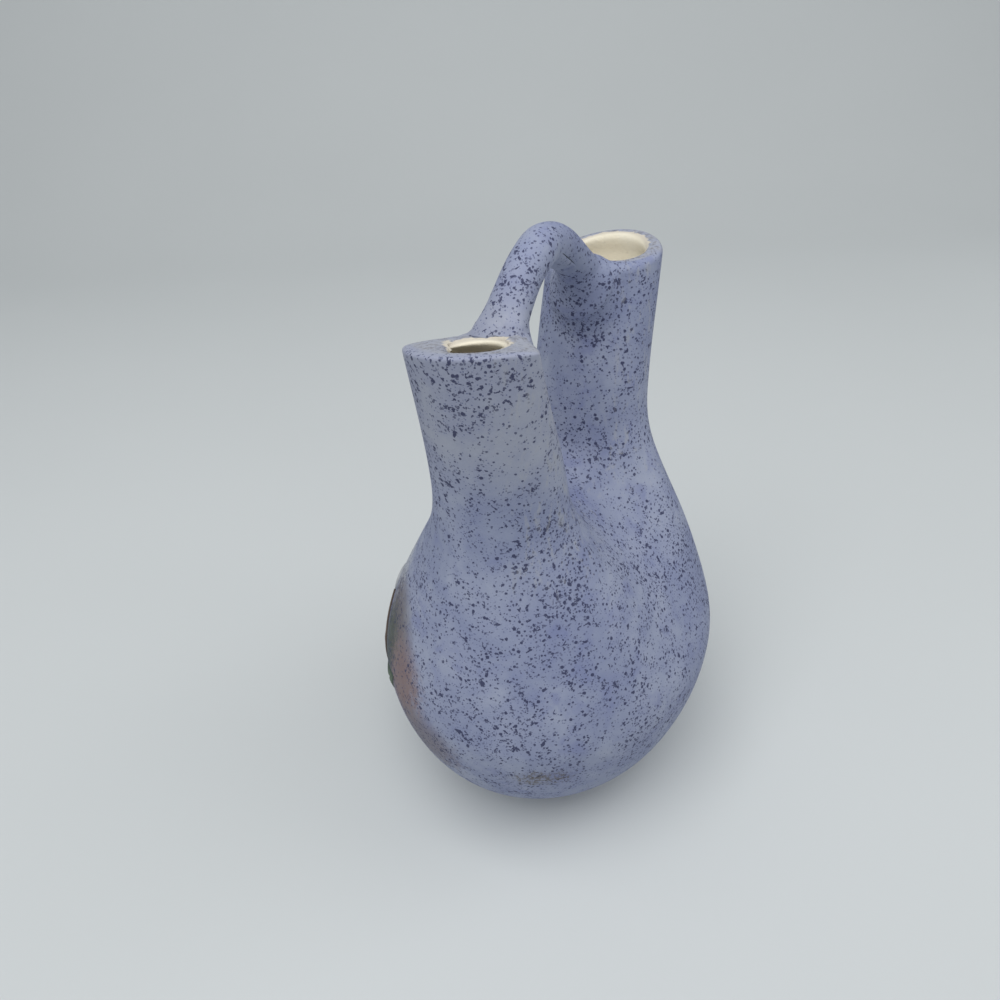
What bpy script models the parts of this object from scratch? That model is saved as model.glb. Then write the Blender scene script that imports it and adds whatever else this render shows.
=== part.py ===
"""Double-spouted clay vase with a bridge handle, as the pieces that a potter lutes together.

The origin is the middle of the foot and +Z is up. X runs from the left spout to the right one,
and the decorated front faces -Y. All lengths are in metres.
"""
import math

import bmesh
import bpy
from mathutils import Vector
from mathutils.bvhtree import BVHTree

MM = 0.001

# Joints: the bed of slip between two pieces
SLIP_BED = 0.3 * MM

# Body
BELLY_HEIGHT = 41.6 * MM
BELLY_LENGTH = 90.6 * MM
BELLY_DEPTH = 78.2 * MM
BOWL_FULLNESS = 2.0
BODY_WALL = 4.0 * MM
SADDLE_HEIGHT = 83 * MM
SADDLE_SPREAD = 16.8 * MM
SADDLE_FULLNESS = 1.45
SADDLE_TURN = 5.0
SHOULDER_RISE = 58 * MM
SHOULDER_SWEEP = 38.6 * MM
SADDLE_SWEEP = 18 * MM

# Foot and floor
FOOT_LENGTH = 35 * MM
FOOT_RING = 4.5 * MM
FLOOR_THICKNESS = 5 * MM
FLOOR_EDGE = 0.6 * MM

# Necks where they leave the shoulder
NECK_START = 90 * MM
NECK_REACH = 21.5 * MM
NECK_LENGTH = 24.2 * MM
NECK_WIDTH = 27.6 * MM
NECK_LEAN = math.radians(4.4)
NECK_WALL = 3.2 * MM

# Mouths
LIP_HEIGHT = 4.5 * MM
LIP_WALL = 3.8 * MM
RIGHT_MOUTH_HEIGHT = 125.6 * MM
RIGHT_MOUTH_REACH = 29.6 * MM
RIGHT_MOUTH_LENGTH = 18 * MM
RIGHT_MOUTH_WIDTH = 25.8 * MM
RIGHT_MOUTH_SLOPE = math.radians(11.5)
RIGHT_MOUTH_TILT = math.radians(7.2)
RIGHT_MOUTH_PINCH = 0.6
LEFT_MOUTH_HEIGHT = 124.8 * MM
LEFT_MOUTH_REACH = 27.6 * MM
LEFT_MOUTH_LENGTH = 21.5 * MM
LEFT_MOUTH_WIDTH = 25.9 * MM
LEFT_MOUTH_SLOPE = math.radians(11.1)
LEFT_MOUTH_TILT = math.radians(6.3)
LEFT_MOUTH_PINCH = 0.22

# Bridge handle
HANDLE_TOP = 138 * MM
HANDLE_CROWN = 2.5 * MM
HANDLE_DIAMETER = 7.6 * MM
HANDLE_FLARE_REACH = 4.5 * MM
HANDLE_FLARE_RISE = 4.5 * MM
HANDLE_TOE = 4 * MM
RIGHT_FOOT_INSET = -1.0 * MM
RIGHT_FOOT_DROP = 3.8 * MM
RIGHT_FOOT_FLARE = 0.2
RIGHT_ARCH_RISE = 1.6
RIGHT_ARCH_BROW = 0.8
LEFT_FOOT_INSET = -2.5 * MM
LEFT_FOOT_DROP = -0.2 * MM
LEFT_FOOT_FLARE = 0.03
LEFT_ARCH_RISE = 1.2
LEFT_ARCH_BROW = 1.3

# Applied relief on the front, with heights from the belly
ROUNDEL_HEIGHT = -5.6 * MM
ROUNDEL_DIAMETER = 24 * MM
ROUNDEL_RELIEF = 0.9 * MM
STEM_FOOT = (math.radians(7), -28.6 * MM)
STEM_BEND = (math.radians(56), -17.6 * MM)
STEM_TIP = (math.radians(31), 14.4 * MM)
STEM_WIDTH = 2.2 * MM
STEM_RELIEF = 0.7 * MM
LEAF_LENGTH = 13 * MM
LEAF_WIDTH = 6 * MM
LEAF_RELIEF = 0.8 * MM
LEAF_SPREAD = math.radians(42)
LEAF_PLACES = (0.24, 0.44, 0.62, 0.80)
BUD_LENGTH = 7.5 * MM
BUD_WIDTH = 5.5 * MM
BUD_RELIEF = 0.9 * MM
RELIEF_EDGE = 0.45
LEAF_TIP = 0.12
OVAL_END = math.radians(14)

# Facets
SEGMENTS = 40
BOWL_STEPS = 9
SHOULDER_STEPS = 7
NECK_STEPS = 5
LIP_STEPS = 6
SMOOTHING_STROKES = 12
SEAM = 0.01 * MM
EASED_ROWS = 2
HANDLE_STEPS = 30
HANDLE_SIDES = 16
RELIEF_STEP = 2.4 * MM

# Colours of the fired surfaces
LAVENDER = (0.27, 0.29, 0.45, 1.0)
CREAM = (0.72, 0.66, 0.48, 1.0)
LEAF_GREEN = (0.13, 0.22, 0.12, 1.0)
BARK_BROWN = (0.16, 0.09, 0.06, 1.0)
TERRACOTTA = (0.42, 0.17, 0.09, 1.0)
PALE_GREY = (0.52, 0.54, 0.55, 1.0)
MATT = 0.75


def clear_scene():
    """Remove every object that the scene starts with."""
    for thing in list(bpy.data.objects):
        bpy.data.objects.remove(thing, do_unlink=True)


def clay(name, colour):
    """A matt fired finish of one colour."""
    finish = bpy.data.materials.new(name)
    finish.use_nodes = True
    shader = finish.node_tree.nodes["Principled BSDF"]
    shader.inputs["Base Color"].default_value = colour
    shader.inputs["Roughness"].default_value = MATT
    shader.inputs["Metallic"].default_value = 0.0
    finish.diffuse_color = colour
    return finish


def hermite(start, end, leave, arrive, t):
    """Cubic from start to end that leaves along one slope and arrives along another."""
    first = start * (2 * t**3 - 3 * t**2 + 1) + leave * (t**3 - 2 * t**2 + t)
    return first + end * (3 * t**2 - 2 * t**3) + arrive * (t**3 - t**2)


def turn_angles():
    """Angles round an oval, from the front (-Y) by the outer end to the back, and home."""
    return [-math.pi / 2 + 2 * math.pi * i / SEGMENTS for i in range(SEGMENTS)]


def oval(reach, half_length, half_width, height, slope=0.0, tilt=0.0, pinch=0.0):
    """A ring of points round an oval.

    A sloped ring is higher at its outer end, and a tilted one at its back. A pinch of 1 draws its
    front and back to points.
    """
    ring = []
    for angle in turn_angles():
        out = half_length * math.cos(angle) * (1 - pinch + pinch * abs(math.cos(angle)))
        back = half_width * math.sin(angle)
        ring.append(Vector((reach + out, back, height + math.tan(slope) * out + math.tan(tilt) * back)))
    return ring


def mirrored(points):
    """The same points on the other side of the middle plane."""
    return [Vector((-p.x, p.y, p.z)) for p in points]


def piece(name, mesh, finish):
    """A named object with its finish, smooth but for its sharp edges."""
    bm = bmesh.new()
    bm.from_mesh(mesh)
    bmesh.ops.recalc_face_normals(bm, faces=bm.faces)
    if bm.calc_volume(signed=True) < 0:
        bmesh.ops.reverse_faces(bm, faces=bm.faces)
    bm.to_mesh(mesh)
    bm.free()
    mesh.shade_smooth()
    mesh.set_sharp_from_angle(angle=math.radians(40))
    mesh.materials.append(finish)
    made = bpy.data.objects.new(name, mesh)
    bpy.context.scene.collection.objects.link(made)
    return made


def rings_mesh(name, rings, closed):
    """A mesh over rings of equal count: a closed cycle of rings, or a run of them with end caps."""
    count = len(rings[0])
    verts = [point for ring in rings for point in ring]
    faces = []
    for row in range(len(rings) if closed else len(rings) - 1):
        low = row * count
        high = (row + 1) % len(rings) * count
        for i in range(count):
            j = (i + 1) % count
            faces.append((low + i, low + j, high + j, high + i))
    if not closed:
        faces.append(tuple(range(count)))
        faces.append(tuple(range(len(verts) - count, len(verts))))
    mesh = bpy.data.meshes.new(name)
    mesh.from_pydata(verts, [], faces)
    return mesh


def bowl_share(height, floor, foot_share):
    """The bowl's size at a height as a share of the belly's, on a full curve up from the floor."""
    drop = (BELLY_HEIGHT - height) / (BELLY_HEIGHT - floor)
    full = 1 - (1 - foot_share**BOWL_FULLNESS) * drop**BOWL_FULLNESS
    return full ** (1 / BOWL_FULLNESS)


def bowl_outside(top):
    """Rings up the outside of the bowl."""
    rings = []
    for step in range(BOWL_STEPS + 1):
        z = top * step / BOWL_STEPS
        share = bowl_share(z, 0, FOOT_LENGTH / BELLY_LENGTH)
        rings.append(oval(0, BELLY_LENGTH / 2 * share, BELLY_DEPTH / 2 * share, z))
    return rings


def floor_half_sizes():
    """Half the length and depth of the hole in the foot that the floor slab fills."""
    half_length = FOOT_LENGTH / 2 - FOOT_RING
    half_depth = FOOT_LENGTH / 2 * BELLY_DEPTH / BELLY_LENGTH - FOOT_RING
    return half_length, half_depth


def lower_bowl(finish):
    """The bowl: a wall from the foot ring up to the belly, open in its foot for the floor."""
    top = BELLY_HEIGHT - SLIP_BED / 2
    hole_length, hole_depth = floor_half_sizes()
    length = BELLY_LENGTH / 2 - BODY_WALL
    depth = BELLY_DEPTH / 2 - BODY_WALL
    inside = []
    for step in range(BOWL_STEPS + 1):
        z = top + (FLOOR_THICKNESS - top) * step / BOWL_STEPS
        along = length * bowl_share(z, FLOOR_THICKNESS, hole_length / length)
        across = depth * bowl_share(z, FLOOR_THICKNESS, hole_depth / depth)
        inside.append(oval(0, along, across, z))
    hole = [oval(0, hole_length, hole_depth, 0)]
    return piece("lower_bowl", rings_mesh("lower_bowl", bowl_outside(top) + inside + hole, True), finish)


def base_slab(finish):
    """The floor: a flat slab let into the foot, with eased edges."""
    hole_length, hole_depth = floor_half_sizes()
    length = hole_length - SLIP_BED
    depth = hole_depth - SLIP_BED
    edge = FLOOR_EDGE
    rings = [
        oval(0, length - edge, depth - edge, 0),
        oval(0, length, depth, edge),
        oval(0, length, depth, FLOOR_THICKNESS - edge),
        oval(0, length - edge, depth - edge, FLOOR_THICKNESS),
    ]
    return piece("base_slab", rings_mesh("base_slab", rings, False), finish)


def neck_direction():
    """The way a neck sets off from the shoulder, on the right side."""
    return Vector((math.sin(NECK_LEAN), 0, math.cos(NECK_LEAN)))


def shoulder_grid(inset, bottom, top):
    """Rings of the shoulder's right half, from the belly and saddle up to the neck.

    Each ring runs round the outer side first and then along the saddle. The saddle's points lie
    in the middle plane, and the surface crosses it square, so that the two halves meet smoothly.
    At the front and back the rise follows the curve of the saddle's own arch.
    """
    length = BELLY_LENGTH / 2 - inset
    depth = BELLY_DEPTH / 2 - inset
    crown = SADDLE_HEIGHT - inset - bottom
    wall_top = oval(NECK_REACH, NECK_LENGTH / 2 - inset, NECK_WIDTH / 2 - inset, top)
    bow = 2 / SADDLE_FULLNESS
    arch_rise = crown * math.sqrt(6 * (depth - NECK_WIDTH / 2 + inset) / depth)
    rows = [[] for _ in range(SHOULDER_STEPS + 1)]
    for index, angle in enumerate(turn_angles()):
        side = math.sin(angle)
        if index < SEGMENTS // 2:
            start = Vector((length * math.cos(angle), depth * side, bottom))
            leave = Vector((0, 0, SHOULDER_RISE + (arch_rise - SHOULDER_RISE) * side**4))
        else:
            up = max(0.0, -math.cos(angle))
            span = math.copysign(depth, side)
            start = Vector((0, span * abs(side) ** bow, bottom + crown * up**bow))
            inward = -span * abs(side) ** (bow - 1) * up ** (2 - bow)
            along = Vector((0, inward, crown * abs(side))).normalized()
            turn = math.pi / 2 * min(1, SADDLE_TURN * up)
            leave = Vector((SADDLE_SPREAD, 0, 0)) * math.sin(turn) + along * arch_rise * math.cos(turn)
        sweep = SADDLE_SWEEP + (SHOULDER_SWEEP - SADDLE_SWEEP) * min(1, 1 + math.cos(angle))
        arrive = neck_direction() * sweep
        for step, row in enumerate(rows):
            row.append(hermite(start, wall_top[index], leave, arrive, step / SHOULDER_STEPS))
    return rows


def shoulder(finish):
    """The shoulder: the closed-in top of the body, with two collars for the necks."""
    bottom = BELLY_HEIGHT + SLIP_BED / 2
    top = NECK_START - SLIP_BED / 2
    outside = shoulder_grid(0, bottom, top)
    inside = shoulder_grid(BODY_WALL, bottom, top)
    rings = outside + inside[::-1]
    verts = [point for ring in rings for point in ring]
    faces = []
    for row in range(len(rings)):
        low = row * SEGMENTS
        high = (row + 1) % len(rings) * SEGMENTS
        belly_joint = row == len(rings) - 1
        for i in range(SEGMENTS // 2 if belly_joint else SEGMENTS):
            j = (i + 1) % SEGMENTS
            faces.append((low + i, low + j, high + j, high + i))
    mesh = bpy.data.meshes.new("shoulder")
    mesh.from_pydata(verts, [], faces)
    made = piece("shoulder", mesh, finish)
    halves = made.modifiers.new("other half", "MIRROR")
    halves.use_axis = (True, False, False)
    halves.merge_threshold = SEAM
    free = made.vertex_groups.new(name="between the joints")
    last = SHOULDER_STEPS
    for row in range(len(rings)):
        step = row if row <= last else 2 * last + 1 - row
        for i in range(SEGMENTS):
            saddle = SEGMENTS // 2 < i
            room = min(last - step, last if saddle else step)
            free.add([row * SEGMENTS + i], min(1, room / EASED_ROWS), "REPLACE")
    rub = made.modifiers.new("smoothed with a rib", "SMOOTH")
    rub.factor = 0.5
    rub.iterations = round(SMOOTHING_STROKES)
    rub.vertex_group = free.name
    return made


class HandleFoot:
    """How the handle springs from a mouth: its seat, its flare and how full its half arch is."""

    def __init__(self, inset, drop, flare, rise, brow):
        self.inset = inset
        self.drop = drop
        self.flare = flare
        self.rise = rise
        self.brow = brow

    def radius(self, from_end):
        """The coil's radius, flared where it meets the lip and rounded off to a toe below."""
        share = (from_end - HANDLE_FLARE_RISE) / HANDLE_FLARE_REACH
        short = max(0.0, 1 - (from_end + HANDLE_TOE / 8) / HANDLE_TOE)
        return HANDLE_DIAMETER / 2 * (1 + self.flare * math.exp(-(share**2))) * math.sqrt(1 - short**2)


class Spout:
    """One spout's sizes, and its rings from the shoulder to the mouth."""

    def __init__(self, side, height, reach, length, width, slope, tilt, pinch, foot):
        self.side = side
        self.height = height
        self.reach = reach
        self.half_length = length / 2
        self.half_width = width / 2
        self.slope = slope
        self.tilt = tilt
        self.pinch = pinch
        self.foot = foot

    def share(self, height):
        """How far up the spout a height lies, from 0 at the shoulder to 1 at the mouth."""
        return (height - NECK_START) / (self.height - NECK_START)

    def ring(self, height, inset=0.0, lift=0.0):
        """The spout's oval at a height, drawn in by an inset and raised by a lift."""
        t = self.share(height)
        lean = math.tan(NECK_LEAN) * (self.height - NECK_START)
        reach = hermite(NECK_REACH, self.reach, lean, self.reach - NECK_REACH, t)
        half_length = NECK_LENGTH / 2 + (self.half_length - NECK_LENGTH / 2) * t
        half_width = NECK_WIDTH / 2 + (self.half_width - NECK_WIDTH / 2) * (1 - (1 - t) ** 2)
        bent = t * t
        ring = oval(reach, half_length - inset, half_width - inset, height + lift,
                    self.slope * bent, self.tilt * bent, self.pinch * bent)
        return ring if self.side == "right" else mirrored(ring)

    def run(self, low, high, steps, inset=0.0):
        """Rings from one height to another."""
        return [self.ring(low + (high - low) * step / steps, inset) for step in range(steps + 1)]

    def neck(self, finish):
        """The neck: a slab-built tube between the shoulder's collar and the lip."""
        low = NECK_START + SLIP_BED / 2
        high = self.height - LIP_HEIGHT - SLIP_BED / 2
        outside = self.run(low, high, NECK_STEPS)
        inside = self.run(low, high, NECK_STEPS, NECK_WALL)[::-1]
        name = self.side + "_neck"
        return piece(name, rings_mesh(name, outside + inside, True), finish)

    def crest(self, wall, grow=0.0):
        """Rings over the rounded top of the lip, from its outside to its inside."""
        half = wall / 2
        top = self.height - half
        rings = []
        for step in range(LIP_STEPS + 1):
            angle = math.pi * step / LIP_STEPS
            inset = half - (half + grow) * math.cos(angle)
            rings.append(self.ring(top, inset, (half + grow) * math.sin(angle)))
        return rings

    def lip(self, finish):
        """The lip: a coil laid on the neck and rounded over, a little thicker than the wall."""
        low = self.height - LIP_HEIGHT + SLIP_BED / 2
        foot = [self.ring(low)]
        return_foot = [self.ring(low, LIP_WALL)]
        name = self.side + "_lip"
        return piece(name, rings_mesh(name, foot + self.crest(LIP_WALL) + return_foot, True), finish)

    def cope(self, finish):
        """A cutter a slip bed larger than the spout, to shape what is luted against it.

        It stands up out of the mouth too, so that nothing hangs over the opening.
        """
        top = self.height - LIP_WALL / 2
        outside = self.run(NECK_START, top, NECK_STEPS, -SLIP_BED)
        crest = self.crest(LIP_WALL, SLIP_BED)[1:]
        clear = self.ring(top, LIP_WALL + SLIP_BED, HANDLE_TOP + HANDLE_DIAMETER - top)
        cutter = piece(self.side + "_cope", rings_mesh("cope", outside + crest + [clear], False), finish)
        cutter.hide_render = True
        cutter.display_type = "WIRE"
        return cutter

    def handle_seat(self):
        """Where the middle of the handle's foot meets the inner side of the lip."""
        inner = self.ring(self.height)[SEGMENTS * 3 // 4]
        inset = self.foot.inset if self.side == "right" else -self.foot.inset
        return Vector((inner.x + inset, 0, inner.z - self.foot.drop))

    def half_arch(self):
        """The handle's middle line from this spout's seat up to its crown."""
        seat = self.handle_seat()
        crown = Vector((HANDLE_CROWN, 0, HANDLE_TOP - HANDLE_DIAMETER / 2))
        leave = Vector((0, 0, (crown.z - seat.z) * self.foot.rise))
        arrive = Vector(((crown.x - seat.x) * self.foot.brow, 0, 0))
        steps = HANDLE_STEPS // 2
        return [hermite(seat, crown, leave, arrive, step / steps) for step in range(steps + 1)]


def bridge_handle(right, left, finish):
    """The handle: a rolled coil sprung from one mouth to the other and coped to both."""
    path = right.half_arch() + left.half_arch()[-2::-1]
    reach = [0.0]
    for a, b in zip(path, path[1:]):
        reach.append(reach[-1] + (b - a).length)
    rings = []
    for index, point in enumerate(path):
        before = path[max(index - 1, 0)]
        after = path[min(index + 1, len(path) - 1)]
        ahead = (after - before).normalized()
        rise = Vector((ahead.z, 0, -ahead.x))
        from_right = reach[index]
        from_left = reach[-1] - reach[index]
        radius = right.foot.radius(from_right) if from_right < from_left else left.foot.radius(from_left)
        ring = []
        for side in range(HANDLE_SIDES):
            angle = 2 * math.pi * side / HANDLE_SIDES
            ring.append(point + rise * radius * math.cos(angle) + Vector((0, radius * math.sin(angle), 0)))
        rings.append(ring)
    made = piece("bridge_handle", rings_mesh("bridge_handle", rings, False), finish)
    for spout in (right, left):
        cut = made.modifiers.new("cope to " + spout.side, "BOOLEAN")
        cut.operation = "DIFFERENCE"
        cut.object = spout.cope(finish)
    return made


def body_skin():
    """A search tree over the body's outer faces, to lay the relief on."""
    verts = []
    faces = []
    half = shoulder_grid(0, BELLY_HEIGHT, NECK_START)
    for rings in (bowl_outside(BELLY_HEIGHT), half, [mirrored(ring) for ring in half]):
        base = len(verts)
        verts += [point for ring in rings for point in ring]
        for row in range(len(rings) - 1):
            for i in range(SEGMENTS):
                j = (i + 1) % SEGMENTS
                low = base + row * SEGMENTS
                faces.append((low + i, low + j, low + SEGMENTS + j, low + SEGMENTS + i))
    return BVHTree.FromPolygons(verts, faces)


class Relief:
    """Lays low mounds of clay on the front of the body, a slip bed proud of it."""

    def __init__(self):
        self.skin = body_skin()
        self.centre = Vector((0, 0, BELLY_HEIGHT))

    def lay(self, turn, height, proud):
        """The point over the body at a turn from the front and a height."""
        aim = Vector((BELLY_LENGTH / 2 * math.sin(turn), -BELLY_DEPTH / 2 * math.cos(turn), height))
        spot = self.skin.find_nearest(aim)[0]
        return spot + (spot - self.centre).normalized() * (SLIP_BED + proud)

    def beside(self, place, heading, along, across):
        """The (turn, height) that lies along and across a heading from a place."""
        turn, height = place
        radius = self.lay(turn, height, 0).xy.length
        sideways = along * math.sin(heading) + across * math.cos(heading)
        upwards = along * math.cos(heading) - across * math.sin(heading)
        return turn + sideways / radius, height + upwards

    def mound(self, name, line, relief, finish):
        """A closed mound along a line of (place, heading, half width), highest along its middle."""
        widest = max(half for place, heading, half in line)
        columns = 2 * math.ceil(widest / RELIEF_STEP)
        top = []
        bottom = []
        for place, heading, half in line:
            for column in range(columns + 1):
                share = 2 * column / columns - 1
                spot = self.beside(place, heading, 0, half * share)
                swell = (1 - share**2) * half / widest
                bottom.append(self.lay(*spot, 0))
                top.append(self.lay(*spot, relief * (RELIEF_EDGE + (1 - RELIEF_EDGE) * swell)))
        return piece(name, mound_mesh(name, top, bottom, len(line), columns + 1), finish)

    def straight(self, place, heading, outline):
        """The line of a straight shape, from its outline of (along, half width) pairs."""
        return [(self.beside(place, heading, along, 0), heading, half) for along, half in outline]


def mound_mesh(name, top, bottom, rows, columns):
    """A closed mesh between two grids of points and round their shared edge."""
    count = rows * columns
    faces = []
    for r in range(rows - 1):
        for c in range(columns - 1):
            a = r * columns + c
            quad = (a, a + 1, a + columns + 1, a + columns)
            faces.append(quad)
            faces.append(tuple(count + v for v in reversed(quad)))
    border = list(range(columns))
    border += [r * columns + columns - 1 for r in range(1, rows)]
    border += [(rows - 1) * columns + c for c in range(columns - 2, -1, -1)]
    border += [r * columns for r in range(rows - 2, 0, -1)]
    for a, b in zip(border, border[1:] + border[:1]):
        faces.append((a, b, count + b, count + a))
    mesh = bpy.data.meshes.new(name)
    mesh.from_pydata(top + bottom, [], faces)
    return mesh


def leaf_outline():
    """A pointed leaf from its base to its tip."""
    steps = math.ceil(LEAF_LENGTH / RELIEF_STEP)
    pairs = []
    for step in range(steps + 1):
        t = step / steps
        swell = LEAF_TIP + (1 - LEAF_TIP) * math.sin(math.pi * t)
        pairs.append((LEAF_LENGTH * t, LEAF_WIDTH / 2 * swell))
    return pairs


def round_outline(length, width):
    """An oval from one end to the other, about its middle, with its two ends cut short."""
    steps = math.ceil(math.pi / 2 * length / RELIEF_STEP)
    pairs = []
    for step in range(steps + 1):
        angle = OVAL_END + (math.pi - 2 * OVAL_END) * step / steps
        pairs.append((-length / 2 * math.cos(angle), width / 2 * math.sin(angle)))
    return pairs


def stem_spot(t):
    """The (turn, height) of the right stem at a share of its run."""
    weights = ((1 - t) ** 2, 2 * t * (1 - t), t * t)
    points = (STEM_FOOT, STEM_BEND, STEM_TIP)
    turn, above = (sum(w * p[axis] for w, p in zip(weights, points)) for axis in (0, 1))
    return turn, BELLY_HEIGHT + above


def stem_heading(t):
    """The angle from upright at which the right stem runs there."""
    turn = (1 - t) * (STEM_BEND[0] - STEM_FOOT[0]) + t * (STEM_TIP[0] - STEM_BEND[0])
    rise = (1 - t) * (STEM_BEND[1] - STEM_FOOT[1]) + t * (STEM_TIP[1] - STEM_BEND[1])
    return math.atan2(turn * (BELLY_LENGTH + BELLY_DEPTH) / 4, rise)


def spray(relief, side, finishes):
    """One spray beside the roundel: a stem, its leaves and the bud at its tip."""
    hand = 1 if side == "right" else -1

    def stem_at(t):
        turn, height = stem_spot(t)
        return (hand * turn, height), hand * stem_heading(t)

    rows = math.ceil((STEM_TIP[1] - STEM_FOOT[1]) * 2 / RELIEF_STEP)
    line = [(*stem_at(row / rows), STEM_WIDTH / 2) for row in range(rows + 1)]
    relief.mound(side + "_stem", line, STEM_RELIEF, finishes["stem"])
    clear = STEM_WIDTH / 2 + LEAF_WIDTH / 2 * LEAF_TIP + 2 * SLIP_BED
    for number, t in enumerate(LEAF_PLACES, 1):
        place, heading = stem_at(t)
        outward = hand if number % 2 else -hand
        base = relief.beside(place, heading, 0, outward * clear)
        line = relief.straight(base, heading + outward * LEAF_SPREAD, leaf_outline())
        relief.mound(f"{side}_leaf_{number}", line, LEAF_RELIEF, finishes["leaf"])
    place, heading = stem_at(1)
    middle = relief.beside(place, heading, BUD_LENGTH / 2 + SLIP_BED, 0)
    line = relief.straight(middle, heading, round_outline(BUD_LENGTH, BUD_WIDTH))
    relief.mound(side + "_bud", line, BUD_RELIEF, finishes["bud"])


def main():
    """Make every piece of the vase."""
    clear_scene()
    body = clay("lavender clay", LAVENDER)
    base_slab(clay("cream clay", CREAM))
    lower_bowl(body)
    shoulder(body)
    right_foot = HandleFoot(RIGHT_FOOT_INSET, RIGHT_FOOT_DROP, RIGHT_FOOT_FLARE, RIGHT_ARCH_RISE,
                            RIGHT_ARCH_BROW)
    left_foot = HandleFoot(LEFT_FOOT_INSET, LEFT_FOOT_DROP, LEFT_FOOT_FLARE, LEFT_ARCH_RISE, LEFT_ARCH_BROW)
    right = Spout("right", RIGHT_MOUTH_HEIGHT, RIGHT_MOUTH_REACH, RIGHT_MOUTH_LENGTH, RIGHT_MOUTH_WIDTH,
                  RIGHT_MOUTH_SLOPE, RIGHT_MOUTH_TILT, RIGHT_MOUTH_PINCH, right_foot)
    left = Spout("left", LEFT_MOUTH_HEIGHT, LEFT_MOUTH_REACH, LEFT_MOUTH_LENGTH, LEFT_MOUTH_WIDTH,
                 LEFT_MOUTH_SLOPE, LEFT_MOUTH_TILT, LEFT_MOUTH_PINCH, left_foot)
    for spout in (right, left):
        spout.neck(body)
        spout.lip(body)
    bridge_handle(right, left, body)
    relief = Relief()
    finishes = {
        "stem": clay("bark brown slip", BARK_BROWN),
        "leaf": clay("leaf green slip", LEAF_GREEN),
        "bud": clay("pale grey slip", PALE_GREY),
    }
    line = relief.straight((0, BELLY_HEIGHT + ROUNDEL_HEIGHT), 0,
                           round_outline(ROUNDEL_DIAMETER, ROUNDEL_DIAMETER))
    relief.mound("front_roundel", line, ROUNDEL_RELIEF, clay("terracotta slip", TERRACOTTA))
    for side in ("right", "left"):
        spray(relief, side, finishes)


main()
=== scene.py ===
"""Looks of a small clay vase with twin spouts, a bridge handle and a leafy relief on its front.

Lengths are in metres and +Z is up. X runs from the left spout to the right one, and the
decorated front faces -Y. The skin is made whole, smoothed like leather-hard clay, and then cut
along the potter's joints, so that each piece stands for one solid of the frame.
"""
import logging
import math
from dataclasses import dataclass, field
from enum import Enum
from typing import Callable, Sequence

import bmesh
import bpy
import numpy as np
from mathutils import Matrix, Vector, noise
from mathutils.bvhtree import BVHTree


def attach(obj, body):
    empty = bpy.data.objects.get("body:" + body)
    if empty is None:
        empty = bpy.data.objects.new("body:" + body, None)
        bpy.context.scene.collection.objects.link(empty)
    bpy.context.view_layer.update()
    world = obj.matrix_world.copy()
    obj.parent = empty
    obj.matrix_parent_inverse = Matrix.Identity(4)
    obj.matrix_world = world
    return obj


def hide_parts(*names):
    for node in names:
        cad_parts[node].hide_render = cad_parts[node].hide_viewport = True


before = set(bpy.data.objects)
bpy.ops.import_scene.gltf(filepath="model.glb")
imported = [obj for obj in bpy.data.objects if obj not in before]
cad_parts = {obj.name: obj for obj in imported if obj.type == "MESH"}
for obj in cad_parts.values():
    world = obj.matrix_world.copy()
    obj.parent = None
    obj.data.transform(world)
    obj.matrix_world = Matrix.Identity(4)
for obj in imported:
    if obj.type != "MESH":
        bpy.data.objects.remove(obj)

LOG = logging.getLogger("vase")
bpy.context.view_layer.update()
MM = 0.001
Colour = tuple[float, float, float, float]
Place = tuple[float, float]
Triple = tuple[float, float, float]
Curve = float | np.ndarray | Vector
Faces = list[tuple[int, ...]]
Socket = bpy.types.NodeSocket
Input = Socket | float | tuple[float, ...]
Spine = Callable[[float], tuple[Place, float, float]]
Relief = Callable[[float, float], float]

# Points round every oval of the skin, from the front (-Y) by the right side to the back
AROUND = 96
TURNS = -math.pi / 2 + 2 * math.pi * np.arange(AROUND) / AROUND


class Side(Enum):
    """The two spouts, by the sign of their X."""

    RIGHT = 1
    LEFT = -1

    @property
    def word(self) -> str:
        """The side's name as it stands in a piece's name."""
        return self.name.lower()


class Part(Enum):
    """The pieces that share the vase's skin."""

    BOWL = "lower_bowl"
    SHOULDER = "shoulder"
    RIGHT_NECK = "right_neck"
    LEFT_NECK = "left_neck"
    RIGHT_LIP = "right_lip"
    LEFT_LIP = "left_lip"


class Slot(Enum):
    """The record's material slots."""

    LAVENDER = "lavender_clay"
    CREAM = "cream_clay"
    LEAF = "leaf_green_slip"
    BARK = "bark_brown_slip"
    BUD = "pale_grey_slip"
    TERRACOTTA = "terracotta_slip"


def tint(red: int, green: int, blue: int) -> Colour:
    """A colour as a screen shows it, turned into the shader's linear values.

    Args:
        red: Red from 0 to 255.
        green: Green from 0 to 255.
        blue: Blue from 0 to 255.

    Returns:
        Linear red, green and blue, and an alpha of 1.
    """
    linear = []
    for level in (red, green, blue):
        share = level / 255
        linear.append(share / 12.92 if share <= 0.04045 else ((share + 0.055) / 1.055) ** 2.4)
    return (linear[0], linear[1], linear[2], 1.0)


def hermite(start: Curve, end: Curve, leave: Curve, arrive: Curve, t: float) -> Curve:
    """A cubic from start to end that leaves along one slope and arrives along another.

    Args:
        start: Value at t = 0, a number, an array or a vector.
        end: Value at t = 1.
        leave: Slope at the start.
        arrive: Slope at the end.
        t: Share of the run.

    Returns:
        The value at t.
    """
    first = start * (2 * t**3 - 3 * t**2 + 1) + leave * (t**3 - 2 * t**2 + t)
    return first + end * (3 * t**2 - 2 * t**3) + arrive * (t**3 - t**2)


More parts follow.
